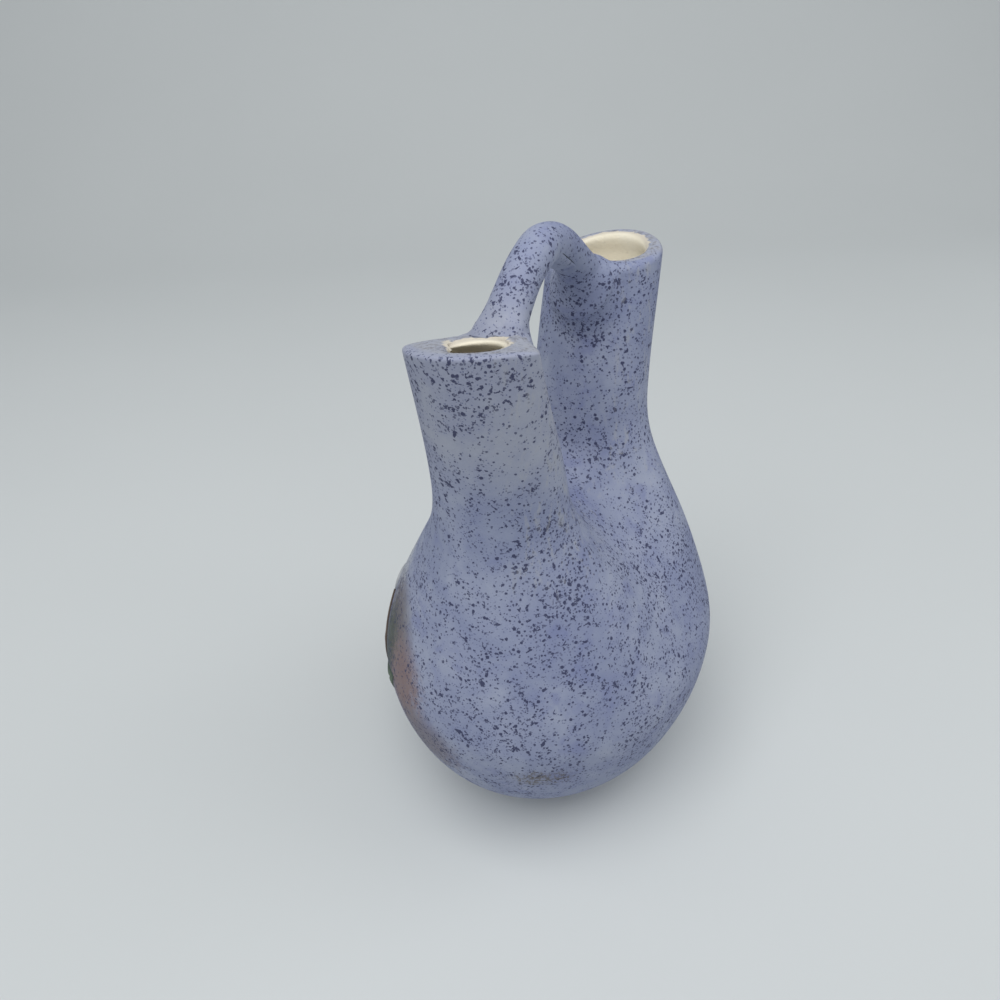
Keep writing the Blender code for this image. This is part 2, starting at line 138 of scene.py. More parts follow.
def oval(reach: float, half_length: float, half_width: float, height: float, slope: float = 0.0,
         tilt: float = 0.0, pinch: float = 0.0, lopsided: float = 0.0) -> np.ndarray:
    """A ring of points round an oval.

    Args:
        reach: X of the oval's middle.
        half_length: Half its size in X.
        half_width: Half its size in Y.
        height: Z of its middle.
        slope: Angle by which the outer end is higher.
        tilt: Angle by which the back is higher.
        pinch: How far the front and back are drawn to points, up to 1.
        lopsided: How much more the back is pinched than the front.

    Returns:
        An array of AROUND points.
    """
    drawn = np.clip(pinch + lopsided * np.sin(TURNS), 0, 1)
    out = half_length * np.cos(TURNS) * (1 - drawn + drawn * np.abs(np.cos(TURNS)))
    back = half_width * np.sin(TURNS)
    return np.column_stack((reach + out, back, height + math.tan(slope) * out + math.tan(tilt) * back))


def ring_faces(rows: int, count: int = AROUND, capped: bool = True) -> Faces:
    """Faces over a run of rings.

    Args:
        rows: How many rings.
        count: Points in each ring.
        capped: Whether the first and last ring are filled.

    Returns:
        Faces as point indices.
    """
    faces = []
    for row in range(rows - 1):
        low = row * count
        for i in range(count):
            j = (i + 1) % count
            faces.append((low + i, low + j, low + count + j, low + count + i))
    if capped:
        faces.append(tuple(reversed(range(count))))
        faces.append(tuple(range((rows - 1) * count, rows * count)))
    return faces


def flipped(points: np.ndarray) -> np.ndarray:
    """The same points on the other side of the middle plane."""
    return points * np.array((-1.0, 1.0, 1.0))


def smooth_least(a: float, b: float, reach: float) -> float:
    """The lesser of two distances, eased where they are alike, as wet clay fills a corner.

    Args:
        a: One distance.
        b: The other.
        reach: How unlike they may be and still be eased.

    Returns:
        The eased lesser distance.
    """
    close = max(reach - abs(a - b), 0.0) / reach
    return min(a, b) - close * close * reach / 4


class SolidProbe:
    """Signed distances to a mesh."""

    def __init__(self, verts: Sequence[Sequence[float]], faces: Sequence[Sequence[int]]) -> None:
        """Build the search tree.

        Args:
            verts: The mesh's points.
            faces: Its faces, all turned outwards or all inwards.
        """
        points = [Vector(v) for v in verts]
        volume = sum(points[face[0]].dot(points[a].cross(points[b]))
                     for face in faces for a, b in zip(face[1:], face[2:]))
        outward = faces if volume > 0 else [tuple(reversed(face)) for face in faces]
        self.tree = BVHTree.FromPolygons(points, outward)

    def distance(self, point: Vector) -> float:
        """How far a point lies outside the mesh, or inside where it is negative."""
        spot, normal, _, gap = self.tree.find_nearest(point)
        return gap if (point - spot).dot(normal) >= 0 else -gap

    def nearest(self, point: Vector) -> tuple[Vector, Vector]:
        """The closest point of the mesh, and the way it faces."""
        spot, normal, _, _ = self.tree.find_nearest(point)
        return spot, normal


@dataclass
class Cage:
    """A coarse skin, gathered as strips of rings that are welded where they meet."""

    verts: list[np.ndarray] = field(default_factory=list)
    faces: Faces = field(default_factory=list)
    parts: list[int] = field(default_factory=list)
    inside: list[float] = field(default_factory=list)
    soft: list[float] = field(default_factory=list)
    weld_within: float = 0.002 * MM

    def strip(self, rings: Sequence[np.ndarray], part: Part, inside: float | np.ndarray,
              soft: np.ndarray | None = None) -> None:
        """Add a strip of rings.

        Args:
            rings: Rings of AROUND points, from one edge of the strip to the other.
            part: The piece that the strip's faces belong to.
            inside: For each point or for all, 0 on the vase's outside and 1 on its inside.
            soft: For each point, how freely it is smoothed.
        """
        base = sum(len(ring) for ring in self.verts)
        label = list(Part).index(part)
        shape = (len(rings), AROUND)
        self.verts += [np.asarray(ring, float) for ring in rings]
        self.inside += list(np.broadcast_to(inside, shape).ravel())
        self.soft += list((np.zeros(shape) if soft is None else soft).ravel())
        for face in ring_faces(len(rings), capped=False):
            self.faces.append(tuple(base + i for i in face))
            self.parts.append(label)

    def weld(self) -> None:
        """Join points that coincide."""
        verts = np.concatenate(self.verts)
        keys = np.round(verts / self.weld_within).astype(np.int64)
        _, first, back = np.unique(keys, axis=0, return_index=True, return_inverse=True)
        back = back.reshape(-1)
        self.verts = [verts[first]]
        self.faces = [tuple(int(back[i]) for i in face) for face in self.faces]
        soft = np.zeros(len(first))
        np.maximum.at(soft, back, np.array(self.soft))
        self.inside = list(np.array(self.inside)[first])
        self.soft = list(soft)

    def rub(self, strokes: int, soft: np.ndarray, share: float = 0.5) -> None:
        """Draw each point towards the middle of its neighbours, as a rib smooths clay.

        Args:
            strokes: How many times.
            soft: For each point, how freely it moves, from 0 to 1.
            share: How far a wholly soft point moves each time.
        """
        points = self.verts[0]
        edges = set()
        for face in self.faces:
            for a, b in zip(face, face[1:] + face[:1]):
                edges.add((min(a, b), max(a, b)))
        pairs = np.array(sorted(edges))
        count = np.bincount(pairs.ravel(), minlength=len(points)).astype(float)
        pull = (share * soft)[:, None]
        for _ in range(strokes):
            total = np.zeros_like(points)
            np.add.at(total, pairs[:, 0], points[pairs[:, 1]])
            np.add.at(total, pairs[:, 1], points[pairs[:, 0]])
            points = points + pull * (total / count[:, None] - points)
        self.verts = [points]

    def subdivided(self, levels: int) -> bpy.types.Mesh:
        """The cage as a fine mesh that keeps each face's piece and each point's inside share.

        Args:
            levels: How many times each face is divided in four.

        Returns:
            A new mesh with the attributes "part" and "inside".
        """
        mesh = bpy.data.meshes.new("skin cage")
        mesh.from_pydata([tuple(v) for v in self.verts[0]], [], self.faces)
        part = mesh.attributes.new("part", "INT", "FACE")
        part.data.foreach_set("value", self.parts)
        inside = mesh.attributes.new("inside", "FLOAT", "POINT")
        inside.data.foreach_set("value", self.inside)
        bm = bmesh.new()
        bm.from_mesh(mesh)
        bmesh.ops.recalc_face_normals(bm, faces=bm.faces)
        if bm.calc_volume(signed=True) < 0:
            bmesh.ops.reverse_faces(bm, faces=bm.faces)
        bm.to_mesh(mesh)
        bm.free()
        holder = bpy.data.objects.new("skin cage", mesh)
        bpy.context.scene.collection.objects.link(holder)
        divide = holder.modifiers.new("fine skin", "SUBSURF")
        divide.levels = levels
        divide.render_levels = levels
        graph = bpy.context.evaluated_depsgraph_get()
        fine = bpy.data.meshes.new_from_object(holder.evaluated_get(graph))
        bpy.data.objects.remove(holder, do_unlink=True)
        return fine


@dataclass
class Body:
    """The bowl, its floor and the shoulder with its saddle."""

    belly_height: float = 41.6 * MM
    belly_length: float = 90.6 * MM
    belly_depth: float = 78.2 * MM
    fullness: float = 2.0
    wall: float = 4.0 * MM
    foot_length: float = 35.0 * MM
    foot_ring: float = 4.5 * MM
    foot_round: float = 1.4 * MM
    floor: float = 5.0 * MM
    floor_slack: float = 0.1 * MM
    floor_edge: float = 0.6 * MM
    saddle_height: float = 83.0 * MM
    saddle_spread: float = 16.8 * MM
    saddle_fullness: float = 1.45
    saddle_turn: float = 5.0
    shoulder_rise: float = 58.0 * MM
    shoulder_sweep: float = 38.6 * MM
    saddle_sweep: float = 18.0 * MM
    collar_height: float = 90.0 * MM
    collar_reach: float = 21.5 * MM
    collar_length: float = 24.2 * MM
    collar_width: float = 27.6 * MM
    neck_lean: float = math.radians(4.4)
    foot_steps: int = 4
    hole_rows: tuple[float, ...] = (0.9, 0.5, 0.1, 0.0)
    ring_rows: tuple[float, ...] = (0.15, 0.5, 0.85, 1.0)
    slab_rows: tuple[float, ...] = (0.05, 0.35, 0.7)
    bowl_steps: int = 22
    shoulder_steps: int = 17
    eased_rows: int = 5

    def share(self, height: float, floor: float, foot_share: float) -> float:
        """The bowl's size at a height as a share of the belly's."""
        drop = (self.belly_height - height) / (self.belly_height - floor)
        full = 1 - (1 - foot_share**self.fullness) * drop**self.fullness
        return full ** (1 / self.fullness)

    def hole(self) -> tuple[float, float]:
        """Half the length and depth of the hole in the foot that the floor fills."""
        half_length = self.foot_length / 2 - self.foot_ring
        half_depth = self.foot_length / 2 * self.belly_depth / self.belly_length - self.foot_ring
        return half_length, half_depth

    def outside(self) -> list[np.ndarray]:
        """Rings up the outside of the bowl, from the rounded edge of the foot."""
        foot_share = self.foot_length / self.belly_length
        rings = []
        for step in range(self.foot_steps):
            turn = math.pi / 2 * step / self.foot_steps
            inset = self.foot_round * (1 - math.sin(turn))
            lift = self.foot_round * (1 - math.cos(turn))
            share = self.share(lift, 0, foot_share)
            rings.append(oval(0, self.belly_length / 2 * share - inset,
                              self.belly_depth / 2 * share - inset, lift))
        for step in range(self.bowl_steps + 1):
            z = self.foot_round + (self.belly_height - self.foot_round) * step / self.bowl_steps
            share = self.share(z, 0, foot_share)
            rings.append(oval(0, self.belly_length / 2 * share, self.belly_depth / 2 * share, z))
        return rings

    def inside(self) -> list[np.ndarray]:
        """Rings down the inside of the bowl, through the hole in the foot and under the foot ring."""
        hole_length, hole_depth = self.hole()
        length = self.belly_length / 2 - self.wall
        depth = self.belly_depth / 2 - self.wall
        rings = []
        for step in range(self.bowl_steps + 1):
            z = self.belly_height + (self.floor - self.belly_height) * step / self.bowl_steps
            along = length * self.share(z, self.floor, hole_length / length)
            across = depth * self.share(z, self.floor, hole_depth / depth)
            rings.append(oval(0, along, across, z))
        for share in self.hole_rows:
            rings.append(oval(0, hole_length, hole_depth, self.floor * share))
        first = self.outside()[0]
        last = oval(0, hole_length, hole_depth, 0)
        rings += [last + (first - last) * share for share in self.ring_rows]
        return rings

    def shoulder_half(self, inset: float) -> np.ndarray:
        """Rings of the shoulder's right half, from the belly and the saddle up to the collar.

        Args:
            inset: How far inside the vase's outer face they lie.

        Returns:
            An array of rows of AROUND points. Each row runs round the outer side first and then
            along the saddle, whose points lie in the middle plane.
        """
        length = self.belly_length / 2 - inset
        depth = self.belly_depth / 2 - inset
        crown = self.saddle_height - inset - self.belly_height
        collar = oval(self.collar_reach, self.collar_length / 2 - inset,
                      self.collar_width / 2 - inset, self.collar_height)
        bow = 2 / self.saddle_fullness
        arch_rise = crown * math.sqrt(6 * (depth - self.collar_width / 2 + inset) / depth)
        ahead = np.array((math.sin(self.neck_lean), 0, math.cos(self.neck_lean)))
        rows = np.zeros((self.shoulder_steps + 1, AROUND, 3))
        for index, angle in enumerate(TURNS):
            side = math.sin(angle)
            if index < AROUND // 2:
                start = np.array((length * math.cos(angle), depth * side, self.belly_height))
                leave = np.array((0, 0, self.shoulder_rise + (arch_rise - self.shoulder_rise) * side**4))
            else:
                up = max(0.0, -math.cos(angle))
                span = math.copysign(depth, side)
                start = np.array((0, span * abs(side) ** bow, self.belly_height + crown * up**bow))
                inward = -span * abs(side) ** (bow - 1) * up ** (2 - bow)
                along = np.array((0, inward, crown * abs(side)))
                along = along / np.linalg.norm(along)
                turn = math.pi / 2 * min(1, self.saddle_turn * up)
                leave = np.array((self.saddle_spread, 0, 0)) * math.sin(turn)
                leave = leave + along * arch_rise * math.cos(turn)
            out = min(1, 1 + math.cos(angle))
            arrive = ahead * (self.saddle_sweep + (self.shoulder_sweep - self.saddle_sweep) * out)
            for step in range(self.shoulder_steps + 1):
                rows[step, index] = hermite(start, collar[index], leave, arrive, step / self.shoulder_steps)
        return rows

    def shoulder_softness(self) -> np.ndarray:
        """For each point of a shoulder half, how freely it is smoothed: least at the joints."""
        soft = np.zeros((self.shoulder_steps + 1, AROUND))
        for step in range(self.shoulder_steps + 1):
            for i in range(AROUND):
                saddle = i > AROUND // 2
                room = min(self.shoulder_steps - step, self.shoulder_steps if saddle else step)
                soft[step, i] = min(1, room / self.eased_rows)
        return soft

    def floor_slab(self) -> bpy.types.Mesh:
        """The floor, a slab with eased edges that fills the hole in the foot."""
        edge = self.floor_edge
        length, depth = (half - self.floor_slack for half in self.hole())
        rings = []
        for share in self.slab_rows:
            rings.append(oval(0, (length - edge) * share, (depth - edge) * share, 0))
        for step in range(self.foot_steps + 1):
            angle = math.pi / 2 * step / self.foot_steps
            inset = edge * (1 - math.sin(angle))
            rings.append(oval(0, length - inset, depth - inset, edge * (1 - math.cos(angle))))
        rings += [ring * (1, 1, -1) + np.array((0, 0, self.floor)) for ring in reversed(rings)]
        mesh = bpy.data.meshes.new("base_slab")
        mesh.from_pydata([tuple(point) for ring in rings for point in ring], [], ring_faces(len(rings)))
        return tidy_mesh(mesh)


@dataclass(frozen=True)
class HandleFoot:
    """How the handle springs from a mouth.

    Attributes:
        inset: How far inside the lip's inner edge the coil is seated.
        drop: How far under that edge it is seated.
        flare: How much thicker the coil is at its seat.
        rise: How strongly it leaves the seat, as a share of the arch's height.
        brow: How long it runs level at the crown, as a share of the half arch.
        root_lean: Angle from upright at which the root's end sinks into the wall.
        root_length: Length of the root under the seat.
        splay: Angle from upright at which the coil leaves its seat.
        lip_fill: How fully the corner over the lip's top is filled, from 0 to 1.
        flare_reach: How far from the seat the flare fades.
        root_taper: How much thinner the root's end is.
        root_steps: Steps along the root.
    """

    inset: float
    drop: float
    flare: float
    rise: float
    brow: float
    root_lean: float
    root_length: float
    splay: float
    lip_fill: float
    flare_reach: float = 4.5 * MM
    root_taper: float = 0.6
    root_steps: int = 16

    def swell(self, from_seat: float) -> float:
        """How much thicker the coil is at a distance from its seat."""
        return 1 + self.flare * math.exp(-((from_seat / self.flare_reach) ** 2))


@dataclass
class Spout:
    """A neck and its lip, from the shoulder's collar to the mouth.

    Attributes:
        side: The side it leans to.
        body: The body it stands on.
        foot: The handle's foot on its lip.
        height: Height of the mouth's middle.
        reach: Distance of the mouth's middle from the vase's middle.
        length: The mouth's size in X.
        width: The mouth's size in Y.
        slope: Angle by which the mouth's outer end is higher.
        tilt: Angle by which the mouth's back is higher.
        pinch: How far the mouth is drawn to points at front and back.
        lopsided: How much more the back is pinched.
        lip_spread: How broad the lip's top is at its ends and at its corners, in walls.
        lip_shift: How far the hole lies towards the back.
        lip_edge: Rounding of the lip's outer edge.
        lip_fall: How far the lip's top falls inwards.
        bare_bias: How much barer the lip's top is at its outer end than at its inner end.
        lip_height: Height of the lip's coil.
        lip_wall: Thickness of the lip.
        lip_round: Rounding of the lip's inner edge.
        lip_rows: Heights of the rings up the lip's outside, as shares.
        lip_shares: Share of the way inside at the end of the edge, the flat and the bend.
        lip_flat_rows: Places of the rings over the lip's top, as shares.
        lip_step: How far down and how far back each ring of the step under the lip lies, as shares.
        inner_pinch: How much less the hole is pinched than the outside.
        bore_depths: Depths of the space that the handle keeps out of.
        bore_rise: Height of that space over the mouth.
        neck_wall: Thickness of the neck under the lip.
        neck_steps: Steps up the neck.
        edge_steps: Steps round each rounded edge.
    """

    side: Side
    body: Body
    foot: HandleFoot
    height: float
    reach: float
    length: float
    width: float
    slope: float
    tilt: float
    pinch: float
    lopsided: float
    lip_spread: tuple[float, float]
    lip_shift: float
    lip_edge: float
    lip_fall: float
    bare_bias: float
    lip_height: float = 4.5 * MM
    lip_wall: float = 3.8 * MM
    lip_round: float = 1.1 * MM
    lip_rows: tuple[float, ...] = (1.0, 0.75, 0.5, 0.3)
    lip_shares: Triple = (0.2, 0.5, 0.9)
    lip_flat_rows: tuple[float, ...] = (0.33, 0.66)
    lip_step: tuple[Place, ...] = ((0.15, 0.1), (0.35, 0.4), (0.55, 0.75), (0.78, 0.95), (1.0, 1.0))
    inner_pinch: float = 0.5
    bore_depths: tuple[float, ...] = (30.0 * MM, 20.0 * MM, 10.0 * MM, 1.0 * MM)
    bore_rise: float = 20.0 * MM
    neck_wall: float = 3.0 * MM
    neck_steps: int = 16
    edge_steps: int = 6

    @property
    def neck(self) -> Part:
        """The neck's piece."""
        return Part.RIGHT_NECK if self.side is Side.RIGHT else Part.LEFT_NECK

    @property
    def lip(self) -> Part:
        """The lip's piece."""
        return Part.RIGHT_LIP if self.side is Side.RIGHT else Part.LEFT_LIP

    def ring(self, height: float, inset: float = 0.0, lift: float = 0.0,
             spread: tuple[float, float] = (1.0, 1.0)) -> np.ndarray:
        """The spout's oval at a height.

        Args:
            height: The height at its middle line.
            inset: How far inside the outer face it lies.
            lift: How far it is then raised.
            spread: How much of the inset is taken lengthwise and crosswise.

        Returns:
            A ring of points.
        """
        body = self.body
        rise = self.height - body.collar_height
        t = (height - body.collar_height) / rise
        reach = hermite(body.collar_reach, self.reach, math.tan(body.neck_lean) * rise,
                        self.reach - body.collar_reach, t)
        half_length = body.collar_length / 2 + (self.length - body.collar_length) / 2 * t
        half_width = body.collar_width / 2 + (self.width - body.collar_width) / 2 * (1 - (1 - t) ** 2)
        bent = t * t
        drawn = bent * (1 - self.inner_pinch * min(1.0, inset / self.lip_wall))
        ring = oval(reach, half_length - inset * spread[0], half_width - inset * spread[1], height + lift,
                    self.slope * bent, self.tilt * bent, self.pinch * drawn, self.lopsided * drawn)
        ring[:, 1] += self.lip_shift * (spread[1] - 1) * inset / self.lip_wall
        return ring if self.side is Side.RIGHT else flipped(ring)

    def neck_heights(self) -> np.ndarray:
        """Heights of the neck's rings, from the collar to the lip."""
        return np.linspace(self.body.collar_height, self.height - self.lip_height, self.neck_steps + 1)

    def outside(self) -> list[np.ndarray]:
        """Rings up the outside of the neck."""
        return [self.ring(z) for z in self.neck_heights()]

    def inside(self) -> list[np.ndarray]:
        """Rings down the inside of the neck, whose wall is thicker at the collar."""
        rings = []
        for step, z in enumerate(self.neck_heights()):
            share = step / self.neck_steps
            rings.append(self.ring(z, self.body.wall + (self.neck_wall - self.body.wall) * share))
        return rings[::-1]

    def lip_profile(self) -> list[tuple[float, float, float]]:
        """The lip's section, from the neck's outside over its trimmed edge to its inside.

        Returns:
            For each ring its inset, its height under the mouth and its share of the way inside.
        """
        edge, fall, bend = self.lip_edge, self.lip_fall, self.lip_round
        edge_share, flat_share, bend_share = self.lip_shares
        turns = [step / self.edge_steps for step in range(self.edge_steps + 1)]
        section = [(0.0, self.lip_height * share, 0.0) for share in self.lip_rows]
        for share in turns:
            turn = math.pi / 2 * share
            section.append((edge * (1 - math.cos(turn)), edge * (1 - math.sin(turn)), edge_share * share))
        flat = self.lip_wall - edge - bend
        for share in self.lip_flat_rows:
            inner = edge_share + (flat_share - edge_share) * share
            section.append((edge + flat * share, fall * share, inner))
        for share in turns:
            turn = math.pi / 2 * share
            inner = flat_share + (bend_share - flat_share) * share
            down = fall + bend * (1 - math.cos(turn))
            section.append((self.lip_wall - bend + bend * math.sin(turn), down, inner))
        return section

    def mouth(self) -> tuple[list[np.ndarray], np.ndarray]:
        """Rings over the lip, from the neck's outside to its inside.

        Returns:
            The rings, and for each of their points its share of the way inside.
        """
        section = self.lip_profile()
        rings = [self.ring(self.height - down, inset, 0.0, self.lip_spread) for inset, down, _ in section]
        shares = [share for _, _, share in section]
        start = section[-1][1]
        for drop, back in self.lip_step:
            inset = self.lip_wall + (self.neck_wall - self.lip_wall) * back
            spread = tuple(1 + (share - 1) * (1 - back) for share in self.lip_spread)
            height = self.height - start - (self.lip_height - start) * drop
            rings.append(self.ring(height, inset, 0.0, spread))
            shares.append(1.0)
        middling = np.array([1.0 if 0 < share < 1 else 0.0 for share in shares])
        bias = self.bare_bias * middling[:, None] * np.cos(TURNS)[None, :]
        return rings, np.clip(np.array(shares)[:, None] + bias, 0, 1)

    def bore(self) -> tuple[np.ndarray, Faces]:
        """The space in and over the mouth that the handle keeps out of, as a closed solid."""
        levels = [(down, 0.0) for down in self.bore_depths]
        levels.append((self.bore_depths[-1], self.bore_rise))
        rings = [self.ring(self.height - down, self.lip_wall, lift, self.lip_spread) for down, lift in levels]
        return np.concatenate(rings), ring_faces(len(rings))

    def seat(self) -> Vector:
        """Where the middle of the handle's foot meets the inner side of the lip."""
        inner = self.ring(self.height)[AROUND * 3 // 4]
        return Vector((inner[0] + self.side.value * self.foot.inset, 0, inner[2] - self.foot.drop))

    def half_arch(self, crown: Vector, steps: int) -> list[tuple[Vector, float]]:
        """The handle's middle line, from a root faired into this spout's wall up to the crown.

        Args:
            crown: The line's highest point.
            steps: Steps from the seat to the crown.

        Returns:
            Points from the root to the crown, each with the coil's thickness there.
        """
        foot = self.foot
        seat = self.seat()
        upward = Vector((-self.side.value * math.sin(foot.splay), 0, math.cos(foot.splay)))
        leave = upward * (crown.z - seat.z) * foot.rise
        arrive = Vector(((crown.x - seat.x) * foot.brow, 0, 0))
        into = Vector((self.side.value * math.sin(foot.root_lean), 0, -math.cos(foot.root_lean)))
        line = []
        for step in range(foot.root_steps, 0, -1):
            share = step / foot.root_steps
            down = (-upward).lerp(into, share)
            spot = seat + down * foot.root_length * share
            line.append((spot, foot.swell(foot.root_length * share) * (1 - foot.root_taper * share)))
        for step in range(steps + 1):
            spot = hermite(seat, crown, leave, arrive, step / steps)
            line.append((spot, foot.swell((spot - seat).length)))
        return line


@dataclass
class BridgeHandle:
    """A rolled coil sprung from one mouth to the other.

    Attributes:
        right: The spout that its right foot stands on.
        left: The spout that its left foot stands on.
        top: Height of its highest point.
        crown: How far that point lies to the right.
        diameter: The coil's thickness.
        steps: Steps along each half arch.
        sides: Points round the coil.
        fillet: How far the clay is drawn out where it is luted on.
        root: How deep its hidden end lies in the wall.
        wobble: Depth of the finger marks along it.
        wobble_length: Their length.
        wobble_bias: How much more they are hollows than bumps.
    """

    right: Spout
    left: Spout
    top: float = 138.0 * MM
    crown: float = 2.5 * MM
    diameter: float = 7.6 * MM
    steps: int = 48
    sides: int = 48
    fillet: float = 14.0 * MM
    root: float = 0.9 * MM
    wobble: float = 0.12 * MM
    wobble_length: float = 7.0 * MM
    wobble_bias: float = 0.3

    def tube(self) -> tuple[list[Vector], Faces, list[Vector]]:
        """The coil before it is luted on.

        Returns:
            Its points, its faces and the way each point faces.
        """
        crown = Vector((self.crown, 0, self.top - self.diameter / 2))
        path = self.right.half_arch(crown, self.steps) + self.left.half_arch(crown, self.steps)[-2::-1]
        points = []
        facing = []
        for index, (point, swell) in enumerate(path):
            ahead = (path[min(index + 1, len(path) - 1)][0] - path[max(index - 1, 0)][0]).normalized()
            rise = Vector((ahead.z, 0, -ahead.x))
            for side in range(self.sides):
                angle = 2 * math.pi * side / self.sides
                outward = rise * math.cos(angle) + Vector((0, math.sin(angle), 0))
                spot = point + outward * self.diameter / 2 * swell
                wave = noise.noise(spot / self.wobble_length) - self.wobble_bias
                points.append(spot + outward * wave * self.wobble)
                facing.append(outward)
        return points, ring_faces(len(path), self.sides), facing


@dataclass
class Vase:
    """The whole skin: body, spouts and handle, smoothed together and cut into pieces.

    Attributes:
        body: The bowl, floor and shoulder.
        spouts: The right spout and the left one.
        handle: The coil between them.
        strokes: How often the shoulder is smoothed.
        collar_strokes: How often the collars are smoothed.
        collar_band: How far from a collar that smoothing reaches.
        waist_strokes: How often the sides under the saddle are smoothed.
        waist_reach: How far from the middle plane that smoothing reaches.
        waist_clear: How far it stays from the belly and the saddle.
        wobble: Height of the hand's unevenness all over.
        wobble_length: Its length.
        mouth_gap: Least gap between the handle and a mouth's hole.
        mouth_ease: How gently the handle is turned aside from the hole.
        mouth_reach: How far inside the hole a point is still turned aside.
        mouth_share: The share of the way inside at which a lip is no longer filled.
        level_facing: The upright part of the way a level lip faces.
        inner_facing: The outward part of the way the inside of a neck faces.
        still_foot: Height at which the unevenness is full.
        stroke: The longest stroke of luting clay.
        luting_strokes: How many strokes there are.
        luted_reach: How far from the joint it is filled fully.
        luted_share: How fully it is filled at the joint, before the limit of 1.
        beside_share: How fully it is filled where the two surfaces face the same way.
        level_fade: How fast the filling fades towards a level lip.
    """

    body: Body
    spouts: tuple[Spout, Spout]
    handle: BridgeHandle
    strokes: int = 36
    collar_strokes: int = 14
    collar_band: float = 9.0 * MM
    waist_strokes: int = 160
    waist_reach: float = 14.0 * MM
    waist_clear: float = 6.0 * MM
    wobble: float = 0.22 * MM
    wobble_length: float = 21.0 * MM
    mouth_gap: float = 0.2 * MM
    mouth_ease: float = 1.2 * MM
    mouth_reach: float = 6.0 * MM
    mouth_share: float = 0.8
    level_facing: float = 0.5
    inner_facing: float = 0.2
    still_foot: float = 10.0 * MM
    stroke: float = 0.6 * MM
    luting_strokes: int = 6
    luted_reach: float = 5.0 * MM
    luted_share: float = 1.3
    beside_share: float = 0.4
    level_fade: float = 1.4

    def cage(self) -> Cage:
        """The coarse skin, outside and inside, with its shoulder smoothed."""
        body = self.body
        cage = Cage()
        cage.strip(body.outside(), Part.BOWL, 0)
        cage.strip(body.inside(), Part.BOWL, 1)
        soft = body.shoulder_softness()
        for inset, inside in ((0.0, 0), (body.wall, 1)):
            half = body.shoulder_half(inset)
            for rows in (half, flipped(half)):
                cage.strip(list(rows), Part.SHOULDER, inside, soft)
        for spout in self.spouts:
            cage.strip(spout.outside(), spout.neck, 0)
            cage.strip(spout.inside(), spout.neck, 1)
            rings, shares = spout.mouth()
            cage.strip(rings, spout.lip, shares)
        cage.weld()
        cage.rub(self.strokes, np.array(cage.soft))
        away = np.abs(cage.verts[0][:, 2] - body.collar_height) / self.collar_band
        cage.rub(self.collar_strokes, np.clip(1 - away, 0, 1))
        points = cage.verts[0]
        waist = np.exp(-((points[:, 0] / self.waist_reach) ** 2))
        low = body.belly_height + self.waist_clear
        high = body.saddle_height - self.waist_clear
        above = np.clip((points[:, 2] - low) / self.waist_clear, 0, 1)
        below = np.clip((high - points[:, 2]) / self.waist_clear, 0, 1)
        cage.rub(self.waist_strokes, waist * (above * below))
        return cage

    def worked(self) -> tuple[bpy.types.Mesh, bpy.types.Mesh]:
        """The fine skin with the handle luted on.

        Returns:
            The skin's mesh and the handle's mesh.
        """
        skin = self.cage().subdivided(1)
        spots = [vert.co.copy() for vert in skin.vertices]
        normals = [Vector(normal.vector) for normal in skin.vertex_normals]
        inside = [0.0] * len(spots)
        skin.attributes["inside"].data.foreach_get("value", inside)
        for spot, normal in zip(spots, normals):
            freedom = min(1, spot.z / self.still_foot)
            spot += normal * noise.noise(spot / self.wobble_length) * self.wobble * freedom
        points, faces, facing = self.handle.tube()
        coil = SolidProbe(points, faces)
        clay = SolidProbe(spots, [tuple(face.vertices) for face in skin.polygons])
        bores = [SolidProbe(*spout.bore()) for spout in self.spouts]
        for index, (spot, normal) in enumerate(zip(spots, normals)):
            if spot.z > self.body.collar_height and inside[index] < self.mouth_share:
                if 0 <= coil.distance(spot) < self.handle.fillet:
                    spots[index] = self.eased(spot, normal, clay, coil, self.fill_at(spot, normal))
        skin.vertices.foreach_set("co", np.array(spots).ravel())
        skin.update()
        luted = []
        for point, outward in zip(points, facing):
            gap = clay.distance(point)
            onto, normal = clay.nearest(point)
            inward = normal.z < self.level_facing and normal.x * math.copysign(1, point.x) > self.inner_facing
            if gap < -self.handle.root or (gap >= 0 and inward):
                point = onto - normal * self.handle.root
            elif 0 <= gap < self.handle.fillet:
                point = self.eased(point, outward, coil, clay, self.fill_at(point, normal))
            luted.append(self.kept_clear(point, bores))
        handle = bpy.data.meshes.new("bridge_handle")
        handle.from_pydata(luted, [], faces)
        return skin, tidy_mesh(handle)

    def dress(self, bench: "Workbench") -> SolidProbe:
        """Place the body, spouts, handle and floor, each with its finish.

        Args:
            bench: What makes the pieces.

        Returns:
            The skin, for the relief to lie on.
        """
        skin, handle = self.worked()
        slip = SpeckledSlip().dress()
        for part in Part:
            bench.place(part.value, cut_piece(skin, part), Slot.LAVENDER, slip)
        bench.place("bridge_handle", handle, Slot.LAVENDER, slip)
        clay = BareClay("cream clay", tint(222, 214, 190), tint(186, 174, 146))
        bench.place("base_slab", self.body.floor_slab(), Slot.CREAM, clay.dress())
        faces = [tuple(face.vertices) for face in skin.polygons]
        probe = SolidProbe([vert.co for vert in skin.vertices], faces)
        bpy.data.meshes.remove(skin)
        return probe

    def fill_at(self, spot: Vector, facing: Vector) -> float:
        """How fully the handle's corner is filled, from 0 to 1.

        Args:
            spot: Where the corner is.
            facing: The way the lip or neck faces there.

        Returns:
            1 on a neck's wall, and the foot's own share on a level lip.
        """
        foot = next(spout.foot for spout in self.spouts if spout.side.value * spot.x >= 0)
        return max(0.0, 1 - self.level_fade * max(0.0, facing.z) * (1 - foot.lip_fill))

